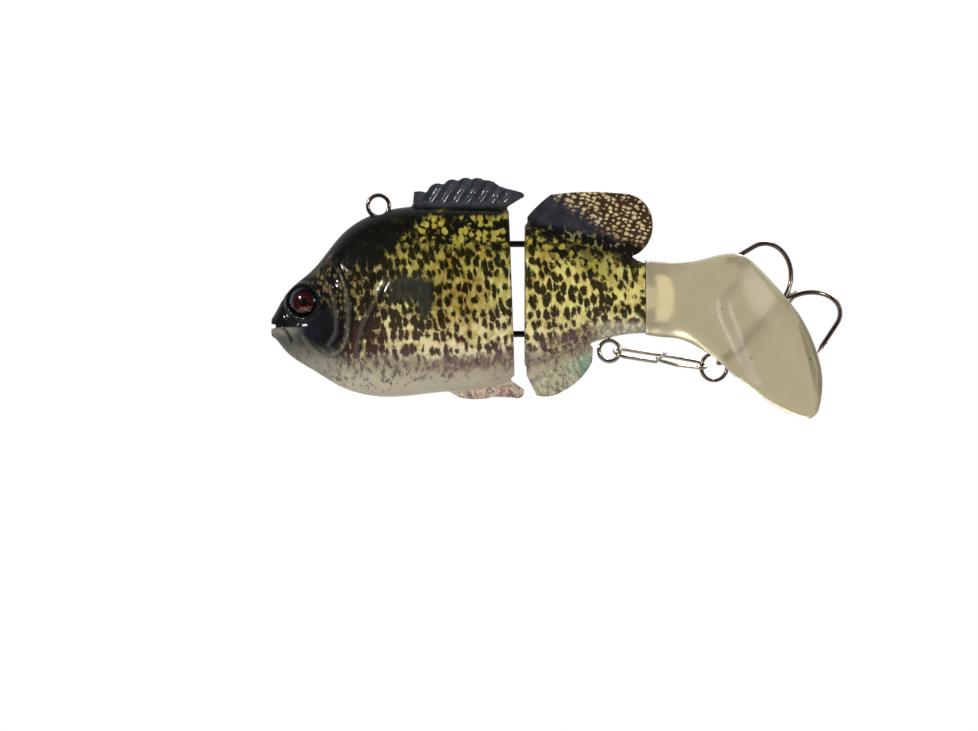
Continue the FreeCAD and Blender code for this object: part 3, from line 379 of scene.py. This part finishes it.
def soft_fin(n, skin):
    """Slate at the front, cream flecks on brown towards the tail, and olive along the root."""
    edge = n.add(n.add(n.z, n.mul(n.sub(n.x, 37.0), 0.27)), n.mul(n.fuzz, 0.6))
    fin = n.mul(n.span(edge, -6.4, -4.6), n.span(n.x, 36.0, 36.4))
    slant_x, slant_z = n.sub(n.across, n.mul(n.up, 0.45)), n.add(n.up, n.mul(n.across, 0.28))
    flecks, cell = n.cells(1.7, slant_x, slant_z, 0.66, 0.5)
    fleck_size = n.add(n.push(n.split(cell)[1], 0.25), n.push(n.fine, -0.9), n.push(n.patch, 0.4))
    fleck = n.span(n.add(flecks, fleck_size), 0.42, 0.10)
    fleck = n.mul(fleck, n.span(n.add(n.x, n.mul(n.z, 1.5), n.fuzz), 44.0, 52.0))
    under = n.add(n.add(n.z, n.mul(n.sub(n.x, 50.0), 0.22)), n.mul(n.fuzz, 0.4))
    under = n.span(under, -5.4, -7.4)
    blue_black = n.tones(rgb(12, 13, 18), rgb(68, 67, 74))
    brown = n.tones(rgb(34, 23, 17), rgb(80, 60, 42))
    lobe = n.mix(n.span(n.add(n.x, n.z), 46.0, 55.0), blue_black, brown)
    cream = n.mix(n.noise(3.0), rgb(236, 222, 172), rgb(178, 140, 98))
    lobe = n.mix(n.mul(fleck, n.sub(1.0, under)), lobe, cream)
    marks = n.span(n.add(n.mark, n.push(n.rough, 0.8)), 0.3, 0.7)
    lobe = n.mix(n.mul(under, 0.9), lobe, n.mix(marks, rgb(122, 114, 80), rgb(12, 15, 13)))
    return n.mix(fin, skin, lobe)


def anal_fins(n, skin):
    """Grey green with a teal patch behind, mauve in front, both with pale speckle along the rays."""
    rear_edge = n.add(n.sub(n.z, n.mul(n.sub(n.x, 36.5), 0.42)), n.mul(n.fuzz, 0.5))
    rear = n.mul(n.span(rear_edge, -42.4, -44.2), n.span(n.x, 36.0, 36.4))
    front_edge = n.add(n.z, n.mul(n.sub(n.x, 18.0), -0.16))
    front = n.mul(n.span(front_edge, -46.2, -47.6), n.span(n.x, 37.0, 36.8))
    ray_place = n.vector(n.add(n.x, n.mul(n.z, 0.6)), n.y, n.mul(n.sub(n.z, n.mul(n.x, 0.6)), 0.35))
    speck = n.add(n.mul(n.noise(0.7, 4.0, 0.7, place=ray_place), 0.7), n.mul(n.fine, 0.3))
    speck = n.span(speck, 0.44, 0.66)
    green = n.mix(n.span(n.noise(2.0, 3.0, 0.6), 0.35, 0.65), rgb(112, 108, 90), rgb(172, 166, 138))
    green = n.mix(n.mul(n.about(51.5, -38.5, 4.5, 4.5, 2.0, 0.0, 0.5), 0.7), green, rgb(84, 122, 108))
    green = n.mix(n.span(n.add(n.x, n.mul(n.z, -0.6)), 69.0, 64.0, 0.0, 0.7), green, rgb(124, 100, 100))
    green = n.mix(n.mul(speck, 0.85), green, rgb(212, 206, 172))
    pink = n.mix(n.span(n.noise(1.8, 3.0, 0.6), 0.35, 0.65), rgb(98, 70, 70), rgb(176, 152, 134))
    pink = n.mix(n.mul(speck, 0.9), pink, rgb(222, 208, 190))
    return n.mix(front, n.mix(rear, skin, green), pink)


def painted_crease_shade_and_ridge_highlight(n, skin):
    """Painted shade darkens the creases and a painted highlight pales the ridges that the castings are
    carved with.
    """
    skin = n.mix(n.mul(n.attribute("crease"), 0.85), skin, rgb(10, 10, 11))
    return n.mix(n.mul(n.attribute("ridge"), 0.5), skin, rgb(128, 124, 108))


def tongue(n, skin):
    """Cream resin where the rear section is bare, inside the soft tail."""
    bare = n.mul(n.span(n.x, TAIL_FACE_X - 0.05, TAIL_FACE_X + 0.02), n.span(n.z, -12.6, -12.9))
    return n.mix(bare, skin, n.tones(rgb(222, 204, 158), rgb(236, 222, 184)))


def painted_resin():
    n = PrintedSkin("painted_resin")
    skin = flank(n)
    for layer in (pectoral_fin, belly, back, head, spiny_fin, soft_fin, anal_fins, painted_crease_shade_and_ridge_highlight, tongue):
        skin = layer(n, skin)
    relief = n.add(n.mul(n.distance, -0.35), n.mul(n.rough, 0.6))
    return n.finish(
        Base_Color=skin, Roughness=n.span(n.rough, 0.2, 0.8, 0.38, 0.50), Normal=n.bump(relief, 0.09),
        Coat_Weight=0.30, Coat_Roughness=0.03, Coat_IOR=1.5, Specular_IOR_Level=0.02,
        Coat_Normal=n.bump(n.noise(2.6, 3.0), 0.12))


# ---------------------------------------------------------------------------------------------
# Metals, eyes, resin, lead and soft plastic
# ---------------------------------------------------------------------------------------------
def metal(name, dark, light, rough_low, rough_high):
    n = Material(name)
    drawn = n.noise(0.25, 2.0, stretch=(3.0, 1.0, 3.0))
    return n.finish(
        Base_Color=n.mix(n.noise(1.2, 4.0, 0.6), dark, light), Metallic=1.0, Normal=n.bump(drawn, 0.012),
        Roughness=n.span(n.noise(0.9, 3.0), 0.25, 0.75, rough_low, rough_high))


def iris(side):
    """Red round a black pupil, with a black edge."""
    n = Material(f"{side}_iris")
    dx, dz = n.mul(n.sub(n.x, EYE[side].x), 1.03), n.sub(n.z, EYE[side].z)
    radius = n.length(dx, dz)
    angle = n.math("ARCTAN2", dz, dx)
    streaks = n.noise(0.5, 3.0, 0.6, place=n.vector(n.mul(angle, 2.2), n.mul(radius, 0.3), 0.0))
    red = n.mix(n.span(streaks, 0.3, 0.75), rgb(48, 5, 7), rgb(164, 26, 20))
    ragged = n.add(radius, n.push(n.noise(0.7), 0.25))
    colour = n.mix(n.span(ragged, 1.95, 2.35), red, rgb(10, 8, 9))
    colour = n.mix(n.span(ragged, 1.15, 0.95), colour, rgb(6, 6, 7))
    inside = n.mul(n.span(radius, 2.5, 2.3), n.span(radius, 0.9, 1.1))
    return n.finish(
        Base_Color=colour, Metallic=n.mul(inside, 0.35), Normal=n.bump(n.mul(streaks, inside), 0.03),
        Roughness=n.span(streaks, 0.2, 0.8, 0.30, 0.45), Specular_IOR_Level=0.1)


def lens():
    """Clear, with a dark rim where it sits in the socket."""
    n = Material("eye_lens")
    rim = n.span(n.length(n.sub(n.x, EYE["left"].x), n.sub(n.z, EYE["left"].z)), 2.5, 2.9)
    clear = n.mix(n.noise(3.0), rgb(246, 246, 244), rgb(255, 253, 248))
    return n.finish(
        Base_Color=n.mix(rim, clear, rgb(40, 38, 38)), IOR=1.49, Transmission_Weight=1.0,
        Roughness=n.span(n.noise(1.5, 3.0), 0.3, 0.8, 0.11, 0.17), Normal=n.bump(n.noise(1.2), 0.01))


def plain_resin():
    n = Material("bare_resin")
    return n.finish(
        Base_Color=n.mix(n.noise(1.5, 3.0), rgb(206, 188, 146), rgb(224, 210, 176)),
        Roughness=n.span(n.noise(1.0), 0.3, 0.7, 0.4, 0.55), Normal=n.bump(n.noise(0.6, 3.0), 0.03))


def lead():
    n = Material("ballast_lead")
    return n.finish(
        Base_Color=n.mix(n.noise(1.5, 4.0), rgb(92, 94, 98), rgb(140, 140, 142)), Metallic=0.9,
        Roughness=n.span(n.noise(1.0, 3.0), 0.3, 0.7, 0.5, 0.7), Normal=n.bump(n.noise(0.7, 4.0), 0.05))


def soft_plastic():
    """Milky plastic. The resin tongue inside shows through it as a blurred cream T."""
    n = Material("soft_tail")
    fine = n.noise(1.4, 4.0, 0.6)
    colour = n.mix(n.noise(9.0, 3.0), rgb(186, 176, 144), rgb(202, 192, 160))
    dirt, _ = n.cells(15.0, n.x, n.z)
    colour = n.mix(n.span(dirt, 0.018, 0.010), colour, rgb(60, 54, 44))
    wobble = n.push(n.noise(1.6, 3.0), 1.6)
    along = n.add(n.x, wobble)
    # painted highlight: the blade's upper half is painted paler, as a soft glow of light on it
    painted_highlight_x = n.mul(n.sub(along, 95.5), 0.16)
    painted_highlight_z = n.mul(n.add(n.add(n.z, 22.5), n.mul(n.sub(n.x, 95.5), 0.8)), 0.13)
    painted_highlight = n.span(n.add(n.mul(painted_highlight_x, painted_highlight_x), n.mul(painted_highlight_z, painted_highlight_z)), 1.0, 0.0)
    colour = n.mix(n.mul(painted_highlight, 0.62), colour, rgb(226, 218, 192))
    # the T's stem and head, and a painted shadow round them
    from_axis = n.add(n.unsigned(n.sub(n.z, TONGUE_Z)), wobble)
    head_end = n.sub(74.4, n.mul(n.math("POWER", n.sub(n.z, TONGUE_Z), 2.0), 0.055))
    cap = n.mul(n.span(along, 68.4, 69.9), n.span(n.sub(along, head_end), 0.9, -1.4))
    cap = n.mul(cap, n.span(from_axis, 7.0, 5.0))
    stem = n.mul(n.span(from_axis, 3.6, 1.8), n.span(along, 71.4, 69.6))
    inlay = n.most(cap, n.mul(stem, 0.65))
    painted_shadow = n.mul(n.span(along, 71.0, 69.0), n.span(from_axis, 7.4, 4.6))
    # painted shadow: the plastic round the root of the T is painted darker
    colour = n.mix(n.mul(painted_shadow, 0.40), colour, rgb(118, 108, 88))
    colour = n.mix(n.mul(inlay, 0.8), colour, rgb(234, 216, 170))
    return n.finish(
        Base_Color=colour, Roughness=n.span(fine, 0.25, 0.8, 0.31, 0.39), IOR=1.42,
        Transmission_Weight=n.sub(0.60, n.mul(n.most(inlay, painted_shadow), 0.50)),
        Subsurface_Weight=0.5, Subsurface_Radius=(1.0, 0.9, 0.7),
        Subsurface_Scale=0.004, Specular_IOR_Level=0.45,
        Normal=n.bump(n.add(fine, n.mul(n.noise(5.0, 2.0), 2.0)), 0.05))


PAINTED = painted_resin()
EYE_LENS = lens()
SOFT_PLASTIC = soft_plastic()
LEAD = lead()
BLACK_NICKEL = metal("black_nickel", rgb(84, 72, 66), rgb(136, 122, 112), 0.14, 0.28)
DARK_WIRE = metal("dark_wire", rgb(34, 33, 28), rgb(62, 60, 52), 0.20, 0.34)
BRIGHT_WIRE = metal("bright_wire", rgb(124, 116, 102), rgb(186, 178, 160), 0.14, 0.28)
PIN_STEEL = metal("pin_steel", rgb(120, 118, 114), rgb(170, 168, 164), 0.2, 0.35)
FINISHES = {
    "front_body": PAINTED,
    "rear_body": PAINTED,
    "line_tie": BLACK_NICKEL,
    "left_iris": iris("left"),
    "right_iris": iris("right"),
    "left_eye_lens": EYE_LENS,
    "right_eye_lens": EYE_LENS,
    "front_ballast": LEAD,
    "rear_ballast": LEAD,
    "upper_hinge_eye": DARK_WIRE,
    "lower_hinge_eye": DARK_WIRE,
    "hinge_pin": PIN_STEEL,
    "hinge_pin_plug": plain_resin(),
    "belly_hook_eye": BRIGHT_WIRE,
    "upper_tail_pin": PIN_STEEL,
    "lower_tail_pin": PIN_STEEL,
    "hook_snap": BRIGHT_WIRE,
    "split_ring": BLACK_NICKEL,
    "treble_hook": BLACK_NICKEL,
    "tail_root": SOFT_PLASTIC,
    "tail_paddle": SOFT_PLASTIC,
}
for name, obj in nodes.items():
    obj.data.materials.clear()
    obj.data.materials.append(FINISHES[name])


# ---------------------------------------------------------------------------------------------
# Cast sections: each CAD solid is meshed evenly, and its skin is then moved by a height
# ---------------------------------------------------------------------------------------------
WELD = 1e-7  # metres between vertices that are one


def placed(name, data):
    """A new object in the scene."""
    obj = bpy.data.objects.new(name, data)
    bpy.context.scene.collection.objects.link(obj)
    return obj


def finished(name, mesh, material):
    """A new object in the scene with one material and smooth shading."""
    mesh.materials.clear()
    mesh.materials.append(material)
    mesh.polygons.foreach_set("use_smooth", [True] * len(mesh.polygons))
    mesh.update()
    return placed(name, mesh)


def outer_shell(mesh):
    """Welds a mesh and removes the cavities that are wholly inside it."""
    shells = bmesh.new()
    shells.from_mesh(mesh)
    bmesh.ops.remove_doubles(shells, verts=shells.verts, dist=WELD)
    groups, seen = [], set()
    for first in shells.verts:
        if first in seen:
            continue
        group, stack = {first}, [first]
        while stack:
            for edge in stack.pop().link_edges:
                for vert in edge.verts:
                    if vert not in group:
                        group.add(vert)
                        stack.append(vert)
        seen |= group
        groups.append(group)
    largest = max(groups, key=lambda g: max(v.co.x for v in g) - min(v.co.x for v in g))
    for group in groups:
        if group is not largest:
            bmesh.ops.delete(shells, geom=list(group), context="VERTS")
    shells.to_mesh(mesh)
    shells.free()


def smooth_path(points, steps=12):
    """A smooth line through points in the plane, as an array of places along it."""
    p = np.array([points[0]] + list(points) + [points[-1]], float)
    rows = []
    for k in range(1, len(p) - 2):
        a, b, c, d = p[k - 1:k + 3]
        for t in np.linspace(0, 1, steps, endpoint=False):
            rows.append(0.5 * (2 * b + (c - a) * t + (2 * a - 5 * b + 4 * c - d) * t * t
                               + (3 * b - a - 3 * c + d) * t ** 3))
    rows.append(p[-2])
    return np.array(rows)


def path_distance(x, z, points, shift=(0.0, 0.0)):
    """The distance of each place (x, z) from a smooth line."""
    line = smooth_path(points) + np.array(shift)
    place = np.stack([x, z], axis=1)
    best = np.full(len(x), np.inf)
    for a, b in zip(line, line[1:]):
        way = b - a
        share = np.clip((place - a) @ way / max(way @ way, 1e-12), 0, 1)
        best = np.minimum(best, np.hypot(*(place - a - share[:, None] * way).T))
    return best


def bell(value, width):
    return np.exp(-((value / width) ** 2))


def step(value, low, high):
    t = np.clip((value - low) / (high - low), 0, 1)
    return t * t * (3 - 2 * t)


def wave(value, pitch):
    """Ridges and grooves that repeat at a pitch, as a fin's rays do."""
    return np.sin(value / pitch * 2 * math.pi)


def even_mesh(node, voxel):
    """The outside of a CAD node, with even faces about voxel mm wide and slightly soft edges."""
    solid = nodes[node].data.copy()
    outer_shell(solid)
    draft = placed(f"{node}_draft", solid)
    even = draft.modifiers.new("even", "REMESH")
    even.mode = "VOXEL"
    even.voxel_size = voxel * MM
    soft = draft.modifiers.new("soft", "SMOOTH")
    soft.factor = 0.5
    soft.iterations = 2
    depsgraph = bpy.context.evaluated_depsgraph_get()
    fine = bpy.data.meshes.new_from_object(draft.evaluated_get(depsgraph))
    bpy.data.objects.remove(draft)
    return fine


def by_vertex(mesh, what):
    """A vector of every vertex, such as its place or its normal, one to a row."""
    values = np.empty(len(mesh.vertices) * 3)
    mesh.vertices.foreach_get(what, values)
    return values.reshape(-1, 3)


def sculpted(name, node, voxel, carve):
    """A fine copy of a CAD node. carve gives each place's lift in mm, and its share of crease and ridge."""
    mesh = even_mesh(node, voxel)
    place, normal = by_vertex(mesh, "co") / MM, by_vertex(mesh, "normal")
    lift, crease, ridge = carve(place, normal)
    place += normal * lift[:, None]
    mesh.vertices.foreach_set("co", (place * MM).ravel())
    # the shares of crease and ridge, where the paint puts painted shade and a painted highlight
    for label, values in (("crease", crease), ("ridge", ridge)):
        attribute = mesh.attributes.new(label, "FLOAT", "POINT")
        attribute.data.foreach_set("value", np.clip(values, 0, 1))
    casting = finished(name, mesh, PAINTED)
    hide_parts(node)
    return casting


# Creases of the head, as (x, z) places on the flank
GILL_COVER = [(-11.6, -13.2), (-9.0, -17.6), (-7.6, -23.0), (-7.3, -29.0), (-8.0, -34.0),
              (-10.4, -37.1), (-13.4, -37.4), (-16.4, -35.5), (-18.6, -32.8)]
CHEEK = [(-14.6, -16.4), (-11.8, -21.0), (-10.4, -26.5), (-10.4, -31.5), (-12.2, -34.6)]
SHOULDER = [(4.3, -14.6), (1.8, -18.6), (-1.0, -24.6), (-3.5, -29.4), (-4.8, -33.4), (-5.4, -36.6)]
JAW = [(-27.2, -30.2), (-25.4, -30.1), (-24.0, -30.4), (-22.6, -31.9), (-21.6, -33.8)]
BROW = [(-24.6, -22.2), (-22.4, -19.6), (-19.0, -18.3), (-15.4, -19.2), (-13.4, -21.6)]
# each plate's edge, the height of its crest and the crest's width
PLATES = ((GILL_COVER, 0.46, 0.5), (CHEEK, 0.34, 0.45), (SHOULDER, 0.30, 0.45))
PLATE_GROOVE = (0.95, -0.1)  # from a plate's crest to the groove behind it
EYE_CREASE, EYE_RIM, EYE_GROOVE = 3.7, 4.35, 5.45  # radii round the eye's middle
NOSTRIL = (-23.6, -23.4)
SPINE_FOOT, SPINE_PITCH, SPINE_SLANT = 10.16, 24.6 / 8, math.tan(math.radians(28.0))
# heights and depths
EYE_RIM_HEIGHT, EYE_GROOVE_DEPTH = 0.42, 0.28
BROW_HEIGHT, JAW_DEPTH, NOSTRIL_DEPTH = 0.22, 0.42, 0.35
SPINE_HEIGHT = 0.25
# height and pitch of the fins' rays
FRONT_ANAL_RAYS, REAR_ANAL_RAYS, SOFT_FIN_RAYS = (0.09, 1.15), (0.10, 1.5), (0.045, 1.7)
TAIL_OVERHANG_Z = -12.9  # above this, what lies behind the tail face is the soft fin's lobe


def carve_front(place, normal):
    x, y, z = place.T
    flank = step(np.abs(y), 0.6, 2.2)  # 0 along the midline, which stays plain
    lift, crease, ridge = np.zeros(len(x)), np.zeros(len(x)), np.zeros(len(x))
    for line, height, width in PLATES:
        crest = bell(path_distance(x, z, line), width)
        lift += flank * height * crest
        ridge = np.maximum(ridge, flank * crest * height * 1.6 * step(-z, 14.0, 24.0))
        groove = bell(path_distance(x, z, line, PLATE_GROOVE), width * 0.8)
        lift -= flank * height * 0.9 * groove
        crease = np.maximum(crease, flank * groove * 0.8)
    groove = bell(path_distance(x, z, JAW), 0.42)
    lift -= JAW_DEPTH * groove
    crease = np.maximum(crease, groove)
    lift += BROW_HEIGHT * flank * bell(path_distance(x, z, BROW), 0.8)
    eye = np.hypot(x - EYE["left"].x, z - EYE["left"].z)
    lift += flank * EYE_RIM_HEIGHT * bell(eye - EYE_RIM, 0.5)
    groove = bell(eye - EYE_GROOVE, 0.5)
    lift -= flank * EYE_GROOVE_DEPTH * groove
    crease = np.maximum(crease, flank * np.maximum(groove * 0.5, bell(eye - EYE_CREASE, 0.45) * 0.9))
    nostril = np.hypot(x - NOSTRIL[0], z - NOSTRIL[1])
    lift -= NOSTRIL_DEPTH * bell(nostril, 0.38)
    crease = np.maximum(crease, bell(nostril, 0.4))
    # spines and their membranes
    fin = step(z, 0.2, 1.4) * step(np.abs(normal[:, 1]), 0.35, 0.75) * step(np.abs(y), 0.3, 0.8)
    along = x - SPINE_FOOT - z * SPINE_SLANT
    lift += fin * SPINE_HEIGHT * np.cos(along / SPINE_PITCH * 2 * math.pi) ** 3
    # rays of the anal fin
    flat = step(np.abs(normal[:, 1]), 0.55, 0.9)
    anal = step(-z, 45.6, 46.6) * step(x, 17.0, 19.0) * step(2.2 - np.abs(y), 0.0, 0.6)
    height, pitch = FRONT_ANAL_RAYS
    lift += flat * anal * height * wave(x + 0.7 * z, pitch)
    return lift, crease, ridge


def carve_rear(place, normal):
    x, _, z = place.T
    flat = step(np.abs(normal[:, 1]), 0.55, 0.9)
    lobe = step(z + 0.27 * (x - 37.0), -4.6, -2.6)
    height, pitch = SOFT_FIN_RAYS
    lift = lobe * flat * height * wave(x - 0.75 * z, pitch)
    anal = step(-(z - 0.42 * (x - 36.5)), 43.0, 44.6)
    height, pitch = REAR_ANAL_RAYS
    lift += anal * flat * height * wave(x + 0.55 * z, pitch)
    # the tongue and the seat of the soft tail stay as they are
    ahead = step(TAIL_FACE_X - x, 0.0, 0.6) * (x < TAIL_FACE_X)
    lift *= ahead + (z > TAIL_OVERHANG_Z) * (x >= TAIL_FACE_X)
    return lift, np.zeros(len(x)), np.zeros(len(x))


FRONT_VOXEL, REAR_VOXEL = 0.31, 0.28  # a finer front would have too many triangles
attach(sculpted("front_casting", "front_body", FRONT_VOXEL, carve_front), "front_section")
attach(sculpted("rear_casting", "rear_body", REAR_VOXEL, carve_rear), "rear_section")


# ---------------------------------------------------------------------------------------------
# Soft tail: one moulding with a thick wrist, a dished blade and a rolled trailing edge
# ---------------------------------------------------------------------------------------------
TAIL_TOP = [(66.75, -13.6), (70.5, -13.95), (74.5, -14.2), (79.4, -13.7), (84.3, -12.45),
            (88.0, -11.85), (90.4, -12.0)]
TAIL_BOTTOM = [(66.75, -32.2), (70.5, -32.75), (74.5, -33.1), (78.0, -34.3), (81.6, -36.4),
               (85.2, -38.9), (88.8, -42.4), (92.8, -45.2), (97.2, -48.7), (101.7, -51.3),
               (105.8, -52.9), (108.0, -53.1)]
TAIL_TRAILING = [(90.4, -12.0), (93.4, -13.9), (97.4, -17.9), (101.7, -22.8), (104.9, -27.0),
                 (107.3, -31.3), (109.2, -36.1), (110.3, -40.2), (110.7, -44.0), (110.4, -48.0),
                 (109.6, -51.4), (108.0, -53.1)]
# where the thick wrist drops to the blade, as (z, x) places
TAIL_LEDGE = [(-44.0, 95.0), (-36.0, 91.0), (-31.0, 89.0), (-27.2, 87.3), (-23.6, 87.0),
              (-20.6, 88.4), (-17.4, 91.2), (-14.0, 92.6)]
# half thickness of the wrist, as (x, half) pairs, and of the blade
TAIL_WRIST = [(66.7, 4.85), (72.0, 4.45), (80.0, 3.7), (90.0, 3.1)]
TAIL_BLADE = 1.35
LEDGE_AHEAD, LEDGE_BEHIND = 3.6, 2.2  # how far each side of the ledge's line it drops
TAIL_START, TAIL_LENGTH = 66.7, 44.4
RIM_RUN = 44.0                   # millimetres along the tail that the rim's distance is counted over
RIM_ROLL, RIM_ROUND = 0.6, 1.1   # bead along the trailing edge, and the radius that ends it
WRIST_ROUND, BLADE_ROUND = 9.2, 1.7  # radii that end the top and bottom edges
TAIL_LIP = 0.22                  # where the moulding meets the hard section
TAIL_CURL, TAIL_DISH = 3.2, 0.7  # sideways reach of the trailing edge and of the blade's hollow
DISH_X, DISH_Z, DISH_LONG, DISH_TALL = 95.5, -26.0, 6.0, 8.5
TAIL_COLUMNS, TAIL_ROWS = 130, 84


def along_path(points, shares):
    """Places at shares of a smooth line's length."""
    line = smooth_path(points, 24)
    run = np.concatenate([[0], np.cumsum(np.hypot(*np.diff(line, axis=0).T))])
    return np.stack([np.interp(shares * run[-1], run, line[:, k]) for k in (0, 1)], axis=1)


def rounded(share):
    """The height of a quarter circle at a share of its way in from the edge."""
    return np.sqrt(np.clip(1 - (1 - np.clip(share, 0, 1)) ** 2, 0, 1))


def tail_grid(s, t):
    """The tail's side view: x, z and full height, for s towards the rim and t from top to bottom."""
    top, bottom = along_path(TAIL_TOP, s), along_path(TAIL_BOTTOM, s)
    trailing = along_path(TAIL_TRAILING, t)
    bulge = trailing - (top[-1] + t[:, None] * (bottom[-1] - top[-1]))
    share = (s ** 3)[:, None, None]
    place = top[:, None] + t[None, :, None] * (bottom - top)[:, None] + share * bulge[None]
    return place[..., 0], place[..., 1], np.hypot(*(bottom - top).T)[:, None]


def tail_half(x, z, tall, s, t):
    """Half thickness: an oval wrist, a ledge, and a thin blade with a rolled rim."""
    ledge = np.interp(z, *zip(*TAIL_LEDGE))
    wrist = np.interp(x, *zip(*TAIL_WRIST))
    half = wrist + (TAIL_BLADE - wrist) * step(x, ledge - LEDGE_AHEAD, ledge + LEDGE_BEHIND)
    from_rim = (1 - s) * RIM_RUN
    roll = step(s, 0.5, 0.8) * step(np.minimum(t, 1 - t), 0.02, 0.14)
    half = half + RIM_ROLL * bell(from_rim - 1.2, 0.65) * roll
    round_over = WRIST_ROUND + (BLADE_ROUND - WRIST_ROUND) * step(s, 0.16, 0.58)
    half = half * rounded(np.minimum(t, 1 - t) * tall / round_over)
    half = half * rounded((from_rim + 0.02) / RIM_ROUND)
    return half + TAIL_LIP * bell(x - 67.0, 0.22)


def tail_centre(x, z):
    """The middle of the thickness, sideways."""
    along = (x - TAIL_START) / TAIL_LENGTH
    curl = -TAIL_CURL * np.clip((along - 0.35) / 0.65, 0, 1) ** 2
    return curl + TAIL_DISH * bell(x - DISH_X, DISH_LONG) * bell(z - DISH_Z, DISH_TALL)


def tail_mesh(x, z, left, right):
    """A closed skin over two grids that share their top and bottom rows."""
    mesh = bmesh.new()
    columns, rows = x.shape

    def vertex(i, j, y):
        return mesh.verts.new((x[i, j] * MM, y[i, j] * MM, z[i, j] * MM))

    front, back = [], []
    for i in range(columns):
        front.append([vertex(i, j, left) for j in range(rows)])
        back.append([front[i][j] if j in (0, rows - 1) else vertex(i, j, right) for j in range(rows)])
    for i in range(columns - 1):
        for j in range(rows - 1):
            mesh.faces.new((front[i][j], front[i][j + 1], front[i + 1][j + 1], front[i + 1][j]))
            mesh.faces.new((back[i][j], back[i + 1][j], back[i + 1][j + 1], back[i][j + 1]))
    for i in (0, columns - 1):
        ring = front[i] + back[i][-2:0:-1]
        mesh.faces.new(ring if i == 0 else ring[::-1])
    bmesh.ops.remove_doubles(mesh, verts=mesh.verts, dist=WELD)
    bmesh.ops.recalc_face_normals(mesh, faces=mesh.faces)
    data = bpy.data.meshes.new("soft_tail")
    mesh.to_mesh(data)
    mesh.free()
    return data


def soft_tail():
    s = 1 - (1 - np.linspace(0, 1, TAIL_COLUMNS)) ** 1.5
    t = 0.5 - 0.5 * np.cos(np.linspace(0, math.pi, TAIL_ROWS))
    x, z, tall = tail_grid(s, t)
    half, centre = tail_half(x, z, tall, s[:, None], t[None, :]), tail_centre(x, z)
    tail = finished("soft_tail_moulding", tail_mesh(x, z, centre - half, centre + half), SOFT_PLASTIC)
    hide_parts("tail_root", "tail_paddle")
    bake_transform(tail)


soft_tail()


# ---------------------------------------------------------------------------------------------
# Stage, camera and light
# ---------------------------------------------------------------------------------------------
VIEW_WIDTH = 244.5 * MM  # what the camera sees of the plane through the lure
VIEW_MIDDLE = Vector((27.625, 0.0, -39.875)) * MM
CAMERA_FAR = 0.95  # far enough for the photograph's flat perspective
HEART = (0.04, 0.0, -0.02)  # the lure's middle, which the lamps point at
LAMPS = (  # name, place, side of the square in metres, watts, colour
    ("key_light", (-0.56, -0.53, 0.30), 0.085, 5.0, (1.0, 0.98, 0.94)),
    ("fill_light", (0.62, -0.55, 0.10), 0.12, 2.4, (0.97, 0.98, 1.0)),
    ("back_light", (0.30, 0.60, 0.50), 0.20, 4.5, (1.0, 1.0, 1.0)),
)
FLOOR_RADIUS, FLOOR_Z = 0.29, -0.165
FLOOR_FADE = (285.0, 215.0)  # millimetres from the floor's middle where it is gone and where it is whole
ROOM_LIGHT, ROOM_IN_GLOSS = 0.26, 0.08


def studio_camera():
    data = bpy.data.cameras.new("camera")
    data.sensor_width = 36.0
    data.lens = data.sensor_width * CAMERA_FAR / VIEW_WIDTH
    data.clip_start = 0.01
    camera = placed("camera", data)
    camera.location = VIEW_MIDDLE + Vector((0.0, -CAMERA_FAR, 0.0))
    camera.rotation_euler = (math.radians(90), 0.0, 0.0)
    return camera


def lamp(name, place, side, power, colour):
    data = bpy.data.lights.new(name, "AREA")
    data.shape = "RECTANGLE"
    data.size = data.size_y = side
    data.energy = power
    data.color = colour
    obj = placed(name, data)
    obj.location = place
    obj.rotation_euler = (Vector(HEART) - Vector(place)).to_track_quat("-Z", "Y").to_euler()


def floor():
    """A round pale floor under the whole reach of the lure, which fades out at its rim."""
    n = Material("floor")
    material = n.finish(
        Base_Color=n.mix(n.noise(14.0, 4.0), rgb(236, 236, 234), rgb(243, 242, 240)), Roughness=0.8,
        Specular_IOR_Level=0.1, Alpha=n.span(n.length(n.x, n.y), *FLOOR_FADE))
    mesh = bmesh.new()
    bmesh.ops.create_circle(mesh, cap_ends=True, segments=96, radius=FLOOR_RADIUS)
    data = bpy.data.meshes.new("floor")
    mesh.to_mesh(data)
    mesh.free()
    data.materials.append(material)
    ground = placed("floor", data)
    ground.location = (HEART[0], 0.0, FLOOR_Z)


def studio_world():
    """Soft light from a dim room, and a white backdrop that only some rays see."""
    world = bpy.data.worlds.new("studio")
    world.use_nodes = True
    w = Tree(world.node_tree)
    ray = w.new("LightPath").outputs
    room, backdrop = w.new("Background"), w.new("Background")
    room.inputs["Color"].default_value = (0.94, 0.97, 1.0, 1.0)
    # the clear coat mirrors a dimmer room, so that its blacks stay black
    w.put(room.inputs["Strength"], w.span(ray["Is Glossy Ray"], 0.0, 1.0, ROOM_LIGHT, ROOM_IN_GLOSS))
    backdrop.inputs["Color"].default_value = (1.0, 1.0, 1.0, 1.0)
    backdrop.inputs["Strength"].default_value = 1.0
    # the camera sees the backdrop, and so do gloss and soft plastic where they look behind the lure
    behind = w.span(w.split(w.new("TexCoord").outputs["Generated"])["Y"], -0.25, 0.35)
    indirect = w.mul(w.most(ray["Is Glossy Ray"], ray["Is Transmission Ray"]), behind)
    seen_by = w.most(ray["Is Camera Ray"], indirect)
    surface = w.fed(w.new("MixShader"), seen_by, room.outputs[0], backdrop.outputs[0])
    w.link(surface, w.new("OutputWorld").inputs["Surface"])
    return world


bpy.context.scene.camera = studio_camera()
for settings in LAMPS:
    lamp(*settings)
floor()
bpy.context.scene.world = studio_world()
bpy.context.scene.view_settings.view_transform = "Standard"
